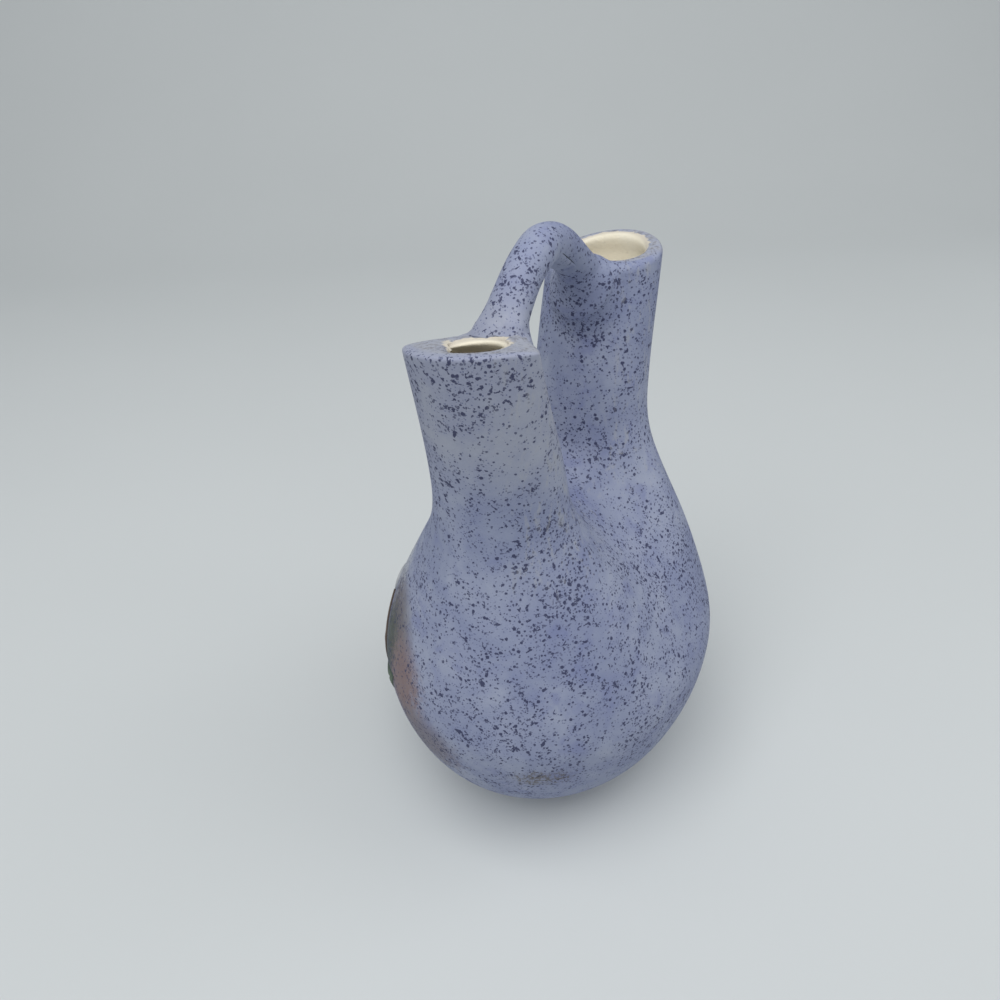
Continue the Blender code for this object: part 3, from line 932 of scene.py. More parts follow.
    def eased(self, spot: Vector, outward: Vector, own: SolidProbe, other: SolidProbe,
              fill: float) -> Vector:
        """A point of the skin or the handle, filled out where the two meet.

        Args:
            spot: Where it lies before.
            outward: The way it faces.
            own: The surface it belongs to.
            other: The surface that is luted to it.
            fill: How fully the corner between them is filled, from 0 to 1.

        Returns:
            Where it ends up.
        """
        onto, _ = other.nearest(spot)
        gap = onto - spot
        toward = gap.normalized().dot(outward)
        close = (self.luted_share - gap.length / self.luted_reach) * fill
        share = min(1.0, max(0.0, self.beside_share + toward, close))
        moved = spot.copy()
        for _ in range(self.luting_strokes):
            short = -smooth_least(own.distance(moved), other.distance(moved), self.handle.fillet)
            moved += outward * min(max(short, -self.stroke), self.stroke)
        return spot.lerp(moved, share)

    def kept_clear(self, point: Vector, bores: Sequence[SolidProbe]) -> Vector:
        """A point of the handle, moved out of the mouths where it hangs over one."""
        for bore in bores:
            gap = bore.distance(point)
            if -self.mouth_reach < gap < self.mouth_ease:
                _, normal = bore.nearest(point)
                eased = -smooth_least(-gap, -self.mouth_gap, self.mouth_ease)
                point = point + normal * (eased - gap)
        return point


def tidy_mesh(mesh: bpy.types.Mesh, sharp: float = 50.0) -> bpy.types.Mesh:
    """Turn a closed mesh's faces outwards and shade it smooth but for its sharp edges."""
    bm = bmesh.new()
    bm.from_mesh(mesh)
    bmesh.ops.recalc_face_normals(bm, faces=bm.faces)
    if bm.calc_volume(signed=True) < 0:
        bmesh.ops.reverse_faces(bm, faces=bm.faces)
    bm.to_mesh(mesh)
    bm.free()
    mesh.shade_smooth()
    mesh.set_sharp_from_angle(angle=math.radians(sharp))
    return mesh


def boundary_loops(bm: bmesh.types.BMesh) -> list[list[bmesh.types.BMEdge]]:
    """The open edges of a mesh, gathered into loops."""
    waiting = {edge for edge in bm.edges if len(edge.link_faces) == 1}
    loops = []
    while waiting:
        edge = waiting.pop()
        loop = [edge]
        front = list(edge.verts)
        while front:
            vert = front.pop()
            for other in vert.link_edges:
                if other in waiting:
                    waiting.remove(other)
                    loop.append(other)
                    front.append(other.other_vert(vert))
        loops.append(loop)
    return loops


def cut_piece(skin: bpy.types.Mesh, part: Part) -> bpy.types.Mesh:
    """One piece of the skin, closed across its wall along the joints.

    Args:
        skin: The whole skin, with its "part" attribute.
        part: The piece to keep.

    Returns:
        A new closed mesh.
    """
    label = list(Part).index(part)
    bm = bmesh.new()
    bm.from_mesh(skin)
    layer = bm.faces.layers.int["part"]
    others = [face for face in bm.faces if face[layer] != label]
    bmesh.ops.delete(bm, geom=others, context="FACES")
    loops = boundary_loops(bm)

    def middle(loop: list[bmesh.types.BMEdge]) -> Vector:
        """The mean of a loop's points."""
        return sum((edge.verts[0].co + edge.verts[1].co for edge in loop), Vector()) / (2 * len(loop))

    while loops:
        loop = loops.pop()
        partner = min(loops, key=lambda other: (middle(other) - middle(loop)).length)
        loops.remove(partner)
        bmesh.ops.bridge_loops(bm, edges=loop + partner)
    mesh = bpy.data.meshes.new(part.value)
    bm.to_mesh(mesh)
    bm.free()
    return tidy_mesh(mesh)


@dataclass
class Workbench:
    """Turns meshes into pieces that ride on the frame and stand for its solids."""

    made: list[bpy.types.Object] = field(default_factory=list)

    def place(self, node: str, mesh: bpy.types.Mesh, slot: Slot,
              finish: bpy.types.Material) -> bpy.types.Object:
        """Make a piece that replaces one node.

        Args:
            node: The node's name, which the piece takes over with "_skin" added.
            mesh: Its mesh, in the frame's coordinates.
            slot: The record's material slot; not used.
            finish: Its material.

        Returns:
            The piece.
        """
        mesh.materials.clear()
        mesh.materials.append(finish)
        piece = bpy.data.objects.new(node + "_skin", mesh)
        bpy.context.scene.collection.objects.link(piece)
        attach(piece, "root")
        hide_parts(node)
        self.made.append(piece)
        LOG.info("%s: %d points, finish %s", piece.name, len(mesh.vertices), finish.name)
        return piece


class NodeBench:
    """Adds and joins the shader nodes of one material."""

    def __init__(self, name: str) -> None:
        """Start a material with nothing but its shader and its output."""
        self.material = bpy.data.materials.new(name)
        self.material.use_nodes = True
        self.tree = self.material.node_tree
        self.shader = self.tree.nodes["Principled BSDF"]
        self.place: Socket | None = None

    def put(self, target: Socket, value: Input) -> None:
        """Set a socket to a number or colour, or join it to another socket."""
        if isinstance(value, Socket):
            self.tree.links.new(value, target)
        else:
            target.default_value = value

    def node(self, kind: str, **settings: str) -> bpy.types.Node:
        """A new node with some of its settings changed."""
        made = self.tree.nodes.new(kind)
        for name, value in settings.items():
            setattr(made, name, value)
        return made

    def spot(self) -> Socket:
        """Where a point lies on the vase, in millimetres."""
        if self.place is None:
            where = self.node("ShaderNodeTexCoord").outputs["Object"]
            scaled = self.node("ShaderNodeVectorMath", operation="SCALE")
            self.put(scaled.inputs[0], where)
            self.put(scaled.inputs["Scale"], 1 / MM)
            self.place = scaled.outputs[0]
        return self.place

    def axis(self, letter: str) -> Socket:
        """One coordinate of the point, in millimetres."""
        split = self.node("ShaderNodeSeparateXYZ")
        self.put(split.inputs[0], self.spot())
        return split.outputs[letter]

    def away(self, place: Triple) -> Socket:
        """How far the point lies from a place, in millimetres."""
        made = self.node("ShaderNodeVectorMath", operation="DISTANCE")
        self.put(made.inputs[0], self.spot())
        self.put(made.inputs[1], place)
        return made.outputs["Value"]

    def shifted(self, offset: Triple, stretch: Triple = (1, 1, 1), at: Socket | None = None) -> Socket:
        """The point moved and stretched, so that two textures don't line up."""
        mapping = self.node("ShaderNodeMapping")
        self.put(mapping.inputs["Vector"], at or self.spot())
        self.put(mapping.inputs["Location"], offset)
        self.put(mapping.inputs["Scale"], stretch)
        return mapping.outputs[0]

    def noise(self, size: float, detail: float = 2.0, rough: float = 0.5, warp: float = 0.0,
              at: Socket | None = None) -> Socket:
        """Cloudy noise from 0 to 1.

        Args:
            size: Size of its features in millimetres.
            detail: How many finer layers it has.
            rough: How strong the finer layers are.
            warp: How much it is bent by itself.
            at: The point to read it at, if not the surface's own.

        Returns:
            The noise's value.
        """
        made = self.node("ShaderNodeTexNoise")
        self.put(made.inputs["Vector"], at or self.spot())
        self.put(made.inputs["Scale"], 1 / size)
        self.put(made.inputs["Detail"], detail)
        self.put(made.inputs["Roughness"], rough)
        self.put(made.inputs["Distortion"], warp)
        return made.outputs[0]

    def math(self, operation: str, a: Input, b: Input = 0.0, c: Input = 0.0) -> Socket:
        """One sum on two or three values."""
        made = self.node("ShaderNodeMath", operation=operation)
        for target, value in zip(made.inputs, (a, b, c)):
            self.put(target, value)
        return made.outputs[0]

    def ramp(self, value: Input, low: float, high: float, start: float = 0.0,
             end: float = 1.0) -> Socket:
        """A smooth step: start below low, end above high."""
        made = self.node("ShaderNodeMapRange", interpolation_type="SMOOTHSTEP")
        self.put(made.inputs["Value"], value)
        self.put(made.inputs["From Min"], low)
        self.put(made.inputs["From Max"], high)
        self.put(made.inputs["To Min"], start)
        self.put(made.inputs["To Max"], end)
        return made.outputs["Result"]

    def blend(self, share: Input, first: Input, second: Input) -> Socket:
        """One colour laid over another."""
        made = self.node("ShaderNodeMix", data_type="RGBA")
        self.put(made.inputs["Factor"], share)
        self.put(made.inputs["A"], first)
        self.put(made.inputs["B"], second)
        return next(out for out in made.outputs if out.type == "RGBA")

    def flecks(self, cell: float, size: float, density: Input, at: Socket, edge: float = 0.12,
               growth: float = 3.2) -> Socket:
        """Specks of many sizes, one at most in each cell of a scattered grid.

        Args:
            cell: Mean distance between specks in millimetres.
            size: Radius of the largest specks in millimetres.
            density: Share of the cells that hold a speck, from 0 to 1.
            at: The point to read them at.
            edge: Softness of their edges in cells.
            growth: How fast a speck grows with its luck.

        Returns:
            1 on a speck and 0 between them.
        """
        made = self.node("ShaderNodeTexVoronoi")
        self.put(made.inputs["Vector"], at)
        self.put(made.inputs["Scale"], 1 / cell)
        split = self.node("ShaderNodeSeparateColor")
        self.put(split.inputs[0], made.outputs["Color"])
        luck = self.math("SUBTRACT", density, split.outputs[0])
        radius = self.math("MULTIPLY", luck, growth * size / cell)
        radius = self.math("MINIMUM", radius, size / cell)
        inner = self.math("SUBTRACT", radius, made.outputs["Distance"])
        return self.ramp(inner, 0, edge)

    def relief(self, height: Socket, depth: float, under: Socket | None = None) -> Socket:
        """A bump of some depth in millimetres, over another bump if there is one."""
        made = self.node("ShaderNodeBump")
        self.put(made.inputs["Strength"], 1.0)
        self.put(made.inputs["Distance"], depth * MM)
        self.put(made.inputs["Height"], height)
        if under is not None:
            self.put(made.inputs["Normal"], under)
        return made.outputs[0]

    def finish(self, colour: Input, roughness: Input, normal: Socket | None = None) -> bpy.types.Material:
        """Join the colour, roughness and bump to the shader."""
        self.put(self.shader.inputs["Base Color"], colour)
        self.put(self.shader.inputs["Roughness"], roughness)
        if normal is not None:
            self.put(self.shader.inputs["Normal"], normal)
        return self.material


@dataclass(frozen=True)
class Blot:
    """A soft airbrushed patch on the bowl's front: its colour, place, size and strength."""

    colour: Colour
    turn: float
    height: float
    turn_reach: float
    height_reach: float
    strength: float


@dataclass(frozen=True)
class Specks:
    """One throw of specks: their spacing and size in millimetres, and how many stick."""

    cell: float
    size: float
    sparse: float
    gain: float
    shift: Triple

    def throw(self, bench: NodeBench, crowd: Socket, at: Socket) -> Socket:
        """The specks, more of them where the spatter is crowded.

        Args:
            bench: The material's nodes.
            crowd: How thickly the spatter lies.
            at: The point to read them at.

        Returns:
            1 on a speck and 0 between them.
        """
        density = bench.math("MULTIPLY_ADD", crowd, self.gain, self.sparse)
        return bench.flecks(self.cell, self.size, density, bench.shifted(self.shift, at=at))


@dataclass(frozen=True)
class SpeckledSlip:
    """Lavender slip, sponged in clouds and spattered with indigo, over a cream clay."""

    pale: Colour = tint(153, 160, 181)
    mid: Colour = tint(136, 144, 170)
    deep: Colour = tint(108, 116, 160)
    grey: Colour = tint(161, 165, 178)
    speck: Colour = tint(48, 53, 86)
    faint_speck: Colour = tint(88, 95, 130)
    dust: Colour = tint(160, 163, 172)
    grime: Colour = tint(104, 99, 98)
    cream: Colour = tint(245, 239, 221)
    cream_shade: Colour = tint(232, 222, 198)
    # painted shade: a darker cream for the bared tops of the lips
    cream_lip_painted_shade: Colour = tint(205, 197, 182)
    scuff: Colour = tint(86, 80, 70)
    roughness: float = 0.66
    mist: Specks = Specks(0.55, 0.18, 0.4, 0.4, (1, 6, 4))
    fine: Specks = Specks(0.75, 0.29, 0.27, 0.64, (9, 5, 2))
    coarse: Specks = Specks(1.2, 0.46, 0.08, 0.5, (3, 8, 6))
    dark_strength: float = 0.95
    mist_strength: float = 0.8
    spot_gain: float = 0.1
    raggedness: float = 0.4
    rag_size: float = 0.5
    scuff_place: Triple = (40.0, 17.0, 33.8)
    scuff_reach: Triple = (9.0, 7.0, 3.2)
    # Spots where the spatter lies thicker; the one on the left neck's inner face, under the handle, is
    # painted shade.
    spatter_and_shade_spots: tuple[tuple[Triple, float], ...] = (
        ((31.0, 13.0, 76.0), 14.0),
        ((43.0, 10.0, 55.0), 16.0),
        # painted shade: thicker spatter darkens the left neck's inner face under the handle
        ((-14.7, 5.0, 111.0), 11.0),
        ((20.0, 4.0, 120.0), 5.0),
        ((33.0, -6.0, 118.0), 9.0),
        ((12.0, 34.0, 58.0), 16.0),
        ((-12.0, 32.0, 62.0), 14.0),
    )
    blots: tuple[Blot, ...] = (
        Blot(tint(184, 188, 194), 40, 68, 12, 9, 0.7),
        Blot(tint(104, 98, 98), 54, 57, 16, 11, 0.9),
        Blot(tint(66, 74, 66), 51, 48, 11, 12, 0.95),
        Blot(tint(124, 102, 98), 66, 46, 12, 13, 0.9),
        Blot(tint(116, 108, 112), 77, 35, 14, 10, 0.75),
    )

    def dress(self) -> bpy.types.Material:
        """Build the material."""
        bench = NodeBench("speckled lavender slip")
        crowd = self.crowding(bench)
        specks, faint = self.spatter(bench, crowd)
        colour = self.ground(bench, crowd)
        colour = self.airbrushed(bench, colour)
        colour = bench.blend(faint, colour, self.faint_speck)
        colour = bench.blend(specks, colour, self.speck)
        colour = self.worn(bench, colour)
        colour = self.bared(bench, colour)
        grain = bench.noise(0.6, 3, 0.62)
        normal = bench.relief(grain, 0.07)
        normal = bench.relief(specks, 0.03, normal)
        shine = bench.ramp(crowd, 0.2, 0.8, self.roughness - 0.05, self.roughness + 0.08)
        return bench.finish(colour, shine, normal)

    def crowding(self, bench: NodeBench) -> Socket:
        """How thickly the spatter lies, from 0 to 1, thickened as painted shade on the left neck's inner face
        under the handle.
        """
        broad = bench.noise(13, 2, 0.5, 0.3, bench.shifted((5, 41, 23)))
        close = bench.noise(4.5, 3, 0.6, 0.3, bench.shifted((15, 2, 63)))
        both = bench.math("ADD", bench.math("MULTIPLY", broad, 0.55), bench.math("MULTIPLY", close, 0.45))
        for place, reach in self.spatter_and_shade_spots:
            near = bench.math("SUBTRACT", 1.0, bench.math("DIVIDE", bench.away(place), reach))
            both = bench.math("MULTIPLY_ADD", bench.math("MAXIMUM", near, 0.0), self.spot_gain, both)
        return bench.ramp(both, 0.31, 0.63)

    def ground(self, bench: NodeBench, crowd: Socket) -> Socket:
        """The slip under the specks: pale clouds, and a deeper blue where the spatter is thick, which on the
        left neck's inner face is painted shade.
        """
        clouds = bench.noise(15, 3, 0.55, 0.4)
        patches = bench.noise(7, 3, 0.6, 0.3, bench.shifted((31, 7, 12)))
        colour = bench.blend(bench.ramp(clouds, 0.36, 0.64), self.mid, self.pale)
        colour = bench.blend(bench.ramp(patches, 0.5, 0.74, 0, 0.5), colour, self.deep)
        near = bench.ramp(bench.axis("X"), 8, 22)
        near = bench.math("MULTIPLY", near, bench.ramp(bench.axis("Z"), 92, 112, 0, 0.75))
        colour = bench.blend(near, colour, self.grey)
        return bench.blend(bench.math("MULTIPLY", crowd, 0.3), colour, self.deep)

    def spatter(self, bench: NodeBench, crowd: Socket) -> tuple[Socket, Socket]:
        """The specks.

        Args:
            bench: The material's nodes.
            crowd: How thickly they lie.

        Returns:
            The share of dark specks and the share of faint ones.
        """
        ragged = self.ragged_spot(bench)
        mist = self.mist.throw(bench, crowd, bench.spot())
        fine = self.fine.throw(bench, crowd, ragged)
        coarse = self.coarse.throw(bench, crowd, ragged)
        flakes = bench.noise(1.25, 3, 0.62, 0.5, bench.shifted((17, 3, 29)))
        flakes = bench.math("MULTIPLY_ADD", crowd, 0.1, flakes)
        flakes = bench.ramp(flakes, 0.68, 0.73)
        tone = bench.noise(3, 2, 0.5, 0, bench.shifted((2, 70, 8)))
        fine = bench.math("MULTIPLY", fine, bench.ramp(tone, 0.3, 0.6, 0.5, 0.95))
        dark = bench.math("MAXIMUM", bench.math("MAXIMUM", coarse, flakes), fine)
        dark = bench.math("MULTIPLY", dark, self.dark_strength)
        return dark, bench.math("MULTIPLY", mist, self.mist_strength)

    def around(self, bench: NodeBench) -> tuple[Socket, Socket]:
        """The point's turn from the front, in degrees to either side, and its height, both jittered."""
        turn = bench.math("ARCTAN2", bench.axis("X"), bench.math("MULTIPLY", bench.axis("Y"), -1.0))
        turn = bench.math("ABSOLUTE", bench.math("MULTIPLY", turn, 180 / math.pi))
        stray = bench.math("SUBTRACT", bench.noise(1.4, 4, 0.8, 0.3, bench.shifted((7, 7, 50))), 0.5)
        turn = bench.math("MULTIPLY_ADD", stray, 22.0, turn)
        return turn, bench.math("MULTIPLY_ADD", stray, -12.0, bench.axis("Z"))

    def airbrushed(self, bench: NodeBench, colour: Socket) -> Socket:
        """The colour with soft patches laid round the relief."""
        turn, height = self.around(bench)
        for blot in self.blots:
            across = bench.math("DIVIDE", bench.math("SUBTRACT", turn, blot.turn), blot.turn_reach)
            upward = bench.math("DIVIDE", bench.math("SUBTRACT", height, blot.height), blot.height_reach)
            away = bench.math("MULTIPLY_ADD", across, across, bench.math("MULTIPLY", upward, upward))
            colour = bench.blend(bench.ramp(away, 0.0, 1.2, blot.strength, 0.0), colour, blot.colour)
        return colour

    def worn(self, bench: NodeBench, colour: Socket) -> Socket:
        """The colour with an olive scuff low on the right and pale rubbing down the back of the necks."""
        ragged = bench.math("MULTIPLY", bench.math("SUBTRACT", bench.noise(1.1, 4, 0.8, 0.5), 0.5), 5.0)
        away = ragged
        for letter, middle, reach in zip("XYZ", self.scuff_place, self.scuff_reach):
            share = bench.math("DIVIDE", bench.math("SUBTRACT", bench.axis(letter), middle), reach)
            away = bench.math("MULTIPLY_ADD", share, share, away)
        rubbed = bench.ramp(away, 0.0, 1.3, 0.8, 0.0)
        broken = bench.noise(0.9, 3, 0.7, 0.3, bench.shifted((8, 2, 5)))
        rubbed = bench.math("MULTIPLY", rubbed, bench.ramp(broken, 0.42, 0.58, 0.15, 1.0))
        colour = bench.blend(rubbed, colour, self.scuff)
        streaks = bench.noise(1.6, 4, 0.7, 0.2, bench.shifted((0, 0, 0), (1, 1, 0.3)))
        zone = bench.math("MULTIPLY", bench.ramp(bench.axis("Y"), 5, 11), bench.ramp(bench.axis("Z"), 72, 84))
        streaks = bench.math("MULTIPLY", bench.ramp(streaks, 0.52, 0.66, 0, 0.55), zone)
        return bench.blend(streaks, colour, self.dust)

    def bared(self, bench: NodeBench, colour: Socket) -> Socket:
        """The colour, dusty on the lips and torn away to cream clay inside the mouths, with a darker cream on
        the bared lip tops as painted shade.
        """
        inner = bench.node("ShaderNodeAttribute", attribute_name="inside").outputs["Fac"]
        torn = bench.noise(2.4, 4, 0.65, 0.5, bench.shifted((3, 9, 1)))
        bare = bench.math("MULTIPLY_ADD", bench.math("SUBTRACT", torn, 0.5), 0.55, inner)
        lip = bench.ramp(inner, 0.02, 0.2)
        dusted = bench.math("MULTIPLY", lip, bench.ramp(torn, 0.35, 0.6, 0.35, 0.75))
        colour = bench.blend(dusted, colour, self.dust)
        smears = bench.ramp(bench.noise(0.9, 4, 0.75, 0.4, bench.shifted((6, 1, 9))), 0.5, 0.62, 0, 0.6)
        colour = bench.blend(bench.math("MULTIPLY", lip, smears), colour, self.grime)
        cream = bench.blend(bench.noise(7, 3, 0.6), self.cream, self.cream_shade)
        # Painted shade: the bared lip tops take a darker cream than the inside of the mouths.
        cream = bench.blend(bench.ramp(inner, 0.8, 1.0), self.cream_lip_painted_shade, cream)
        return bench.blend(bench.ramp(bare, 0.64, 0.74), colour, cream)

    def ragged_spot(self, bench: NodeBench) -> Socket:
        """The point, jittered so that specks have ragged edges."""
        made = bench.node("ShaderNodeTexNoise")
        bench.put(made.inputs["Vector"], bench.spot())
        bench.put(made.inputs["Scale"], 1 / self.rag_size)
        bench.put(made.inputs["Detail"], 2.0)
        centred = bench.node("ShaderNodeVectorMath", operation="SUBTRACT")
        bench.put(centred.inputs[0], made.outputs["Color"])
        bench.put(centred.inputs[1], (0.5, 0.5, 0.5))
        jitter = bench.node("ShaderNodeVectorMath", operation="SCALE")
        bench.put(jitter.inputs[0], centred.outputs[0])
        bench.put(jitter.inputs["Scale"], self.raggedness)
        moved = bench.node("ShaderNodeVectorMath", operation="ADD")
        bench.put(moved.inputs[0], bench.spot())
        bench.put(moved.inputs[1], jitter.outputs[0])
        return moved.outputs[0]


@dataclass(frozen=True)
class BareClay:
    """Unglazed clay, faintly mottled and grainy, and darker in the hollows of a relief as painted shade."""

    name: str
    light: Colour
    dark: Colour
    hollows_painted_shade: bool = False
    roughness: float = 0.78

    def dress(self) -> bpy.types.Material:
        """Build the material."""
        bench = NodeBench(self.name)
        colour = bench.blend(bench.ramp(bench.noise(5, 4, 0.6), 0.35, 0.68, 0, 0.6), self.light, self.dark)
        # Painted shade: on a relief, the low parts read from its crest height are darkened.
        if self.hollows_painted_shade:
            crest = bench.node("ShaderNodeAttribute", attribute_name="crest").outputs["Fac"]
            colour = bench.blend(bench.ramp(crest, 0.25, 0.75, 0.8, 0.0), colour, self.dark)
        grit = bench.flecks(1.1, 0.3, 0.3, bench.spot())
        colour = bench.blend(bench.math("MULTIPLY", grit, 0.35), colour, self.dark)
        normal = bench.relief(bench.noise(0.5, 3, 0.65), 0.06)
        shine = bench.ramp(bench.noise(3, 2), 0.3, 0.7, self.roughness - 0.08, self.roughness + 0.08)
        return bench.finish(colour, shine, normal)


@dataclass
class LeafyRelief:
    """A generic roundel between two leafy sprays, laid as low mounds on the front of the bowl."""

    body: Body
    skin: SolidProbe
    bed: float = 0.3 * MM
    sink: float = 0.25 * MM
    roundel_height: float = 36.0 * MM
    roundel_diameter: float = 24.0 * MM
    roundel_relief: float = 0.95 * MM
    stem_foot: Place = (math.radians(7), 13.0 * MM)
    stem_bend: Place = (math.radians(56), 24.0 * MM)
    stem_tip: Place = (math.radians(31), 56.0 * MM)
    stem_width: float = 2.2 * MM
    stem_relief: float = 0.45 * MM
    leaf_length: float = 13.0 * MM
    leaf_width: float = 6.0 * MM
    leaf_relief: float = 0.5 * MM
    leaf_spread: float = math.radians(42)
    leaf_places: tuple[float, ...] = (0.24, 0.44, 0.62, 0.80)
    leaf_tip: float = 0.12
    bud_length: float = 7.5 * MM
    bud_width: float = 5.5 * MM
    bud_relief: float = 0.6 * MM

    def lay(self, turn: float, height: float, proud: float) -> Vector:
        """The point over the skin at a turn from the front and a height, some way proud of it."""
        body = self.body
        aim = Vector((body.belly_length / 2 * math.sin(turn), -body.belly_depth / 2 * math.cos(turn), height))
        spot, _ = self.skin.nearest(aim)
        return spot + (spot - Vector((0, 0, body.belly_height))).normalized() * proud

    def beside(self, place: Place, heading: float, along: float, across: float) -> Place:
        """The (turn, height) that lies along and across a heading from a place."""
        turn, height = place
        radius = self.lay(turn, height, 0).xy.length
        sideways = along * math.sin(heading) + across * math.cos(heading)
        upwards = along * math.cos(heading) - across * math.sin(heading)
        return turn + sideways / radius, height + upwards

    def mound(self, name: str, spine: Spine, relief: Relief, rows: int, columns: int) -> bpy.types.Mesh:
        """A closed mound over a grid of the front.

        Args:
            name: The mesh's name.
            spine: Gives (place, heading, half width) for a share of the way along.
            relief: Gives the height of the clay for shares along and across.
            rows: Steps along.
            columns: Steps across.

        Returns:
            A closed mesh, a little sunk in the skin.
        """
        top = []
        bottom = []
        crest = []
        for row in range(rows + 1):
            along = row / rows
            place, heading, half = spine(along)
            for column in range(columns + 1):
                across = 2 * column / columns - 1
                spot = self.beside(place, heading, 0, half * across)
                bottom.append(self.lay(*spot, -self.sink))
                crest.append(relief(along, across))
                top.append(self.lay(*spot, crest[-1]))
        wide = columns + 1
        count = len(top)
        faces = []
        for r in range(rows):
            for c in range(columns):
                a = r * wide + c
                quad = (a, a + 1, a + wide + 1, a + wide)
                faces.append(quad)
                faces.append(tuple(count + v for v in reversed(quad)))
        border = list(range(wide))
        border += [r * wide + columns for r in range(1, rows + 1)]
        border += [rows * wide + c for c in range(columns - 1, -1, -1)]
        border += [r * wide for r in range(rows - 1, 0, -1)]
        for a, b in zip(border, border[1:] + border[:1]):
            faces.append((a, b, count + b, count + a))
        mesh = bpy.data.meshes.new(name)
        mesh.from_pydata(top + bottom, [], faces)
        share = mesh.attributes.new("crest", "FLOAT", "POINT")
        share.data.foreach_set("value", [height / max(crest) for height in crest] + [0.0] * count)
        return tidy_mesh(mesh, 60)

    def stem_at(self, t: float, hand: int) -> tuple[Place, float]:
        """A stem's place and heading at a share of its run.

        Args:
            t: The share, from its foot.
            hand: 1 for the right stem and -1 for the left.

        Returns:
            The (turn, height) and the angle from upright.
        """
        weights = ((1 - t) ** 2, 2 * t * (1 - t), t * t)
        points = (self.stem_foot, self.stem_bend, self.stem_tip)
        turn, height = (sum(w * p[axis] for w, p in zip(weights, points)) for axis in (0, 1))
        side = (1 - t) * (points[1][0] - points[0][0]) + t * (points[2][0] - points[1][0])
        rise = (1 - t) * (points[1][1] - points[0][1]) + t * (points[2][1] - points[1][1])
        heading = math.atan2(side * (self.body.belly_length + self.body.belly_depth) / 4, rise)
        return (hand * turn, height), hand * heading

    def stem(self, side: Side) -> bpy.types.Mesh:
        """A rounded stem with a few nodes along it."""

        def spine(t: float) -> tuple[Place, float, float]:
            """The place, heading and half width at a share of the way along."""
            place, heading = self.stem_at(t, side.value)
            return place, heading, self.stem_width / 2 * (1.12 - 0.3 * t)

        def relief(along: float, across: float) -> float:
            """How high the clay stands at shares along and across."""
            knot = max(math.exp(-(((along - place) / 0.02) ** 2)) for place in self.leaf_places)
            return self.stem_relief * (0.1 + math.sqrt(max(0.0, 1 - across**2)) * (0.9 + 0.3 * knot))

        return self.mound(f"{side.word}_stem", spine, relief, 90, 10)

    def leaf(self, side: Side, number: int) -> bpy.types.Mesh:
        """A pointed leaf with a groove down its middle and paired veins."""
        place, heading = self.stem_at(self.leaf_places[number - 1], side.value)
        outward = side.value if number % 2 else -side.value
        clear = self.stem_width / 2 + self.leaf_width / 2 * self.leaf_tip + 2 * self.bed
        base = self.beside(place, heading, 0, outward * clear)
        way = heading + outward * self.leaf_spread

        def spine(t: float) -> tuple[Place, float, float]:
            """The place, heading and half width at a share of the way along."""
            half = self.leaf_width / 2 * (self.leaf_tip * (1 - t) + math.sin(math.pi * t**0.85) * 0.97 + 0.03)
            return self.beside(base, way, self.leaf_length * t, 0), way, half

        def relief(along: float, across: float) -> float:
            """How high the clay stands at shares along and across."""
            swell = (1 - across**2) * math.sin(math.pi * min(1, 0.06 + along * 0.9)) ** 0.6
            groove = 0.42 * math.exp(-((across / 0.12) ** 2)) * math.sin(math.pi * along)
            vein = 0.16 * max(0.0, math.cos(2 * math.pi * (along * 6 - abs(across) * 1.3))) ** 6
            return self.leaf_relief * max(0.05, 0.12 + swell * 0.95 - groove - vein * (1 - across**2))

        return self.mound(f"{side.word}_leaf_{number}", spine, relief, 48, 24)

    def bud(self, side: Side) -> bpy.types.Mesh:
        """A closed bud with three lobes."""
        place, heading = self.stem_at(1, side.value)
        base = self.beside(place, heading, self.bed, 0)

        def spine(t: float) -> tuple[Place, float, float]:
            """The place, heading and half width at a share of the way along."""
            half = self.bud_width / 2 * math.sin(math.pi * (0.08 + 0.86 * t)) ** 0.75
            return self.beside(base, heading, self.bud_length * t, 0), heading, half

        def relief(along: float, across: float) -> float:
            """How high the clay stands at shares along and across."""
            swell = math.sqrt(max(0.0, 1 - across**2)) * math.sin(math.pi * (0.1 + 0.84 * along)) ** 0.6
            crease = 0.22 * sum(math.exp(-(((across - at) / 0.09) ** 2)) for at in (-0.36, 0.36))
            return self.bud_relief * max(0.05, 0.08 + swell - crease * swell)

        return self.mound(f"{side.word}_bud", spine, relief, 32, 28)

    def roundel(self) -> bpy.types.Mesh:
        """A rosette: a boss in a ring of rounded petals."""
        half = self.roundel_diameter / 2

        def spine(t: float) -> tuple[Place, float, float]:
            """The place, heading and half width at a share of the way along."""
            angle = 0.02 + (math.pi - 0.04) * t
            return (0.0, self.roundel_height - half * math.cos(angle)), 0.0, half * math.sin(angle)

        def relief(along: float, across: float) -> float:
            """How high the clay stands at shares along and across."""
            angle = 0.02 + (math.pi - 0.04) * along
            x = math.sin(angle) * across
            y = -math.cos(angle)
            radius = math.hypot(x, y)
            petal = abs(math.cos(6 * math.atan2(y, x)))
            boss = 0.95 * math.exp(-((radius / 0.24) ** 4))
            ring = 0.75 * math.exp(-(((radius - 0.66) / 0.26) ** 4)) * (0.35 + 0.65 * petal**0.5)
            rim = 0.55 * math.exp(-(((radius - 0.95) / 0.05) ** 2))
            return self.roundel_relief * (0.1 + 0.16 * (1 - radius) + max(boss, ring, rim))

        return self.mound("front_roundel", spine, relief, 84, 72)

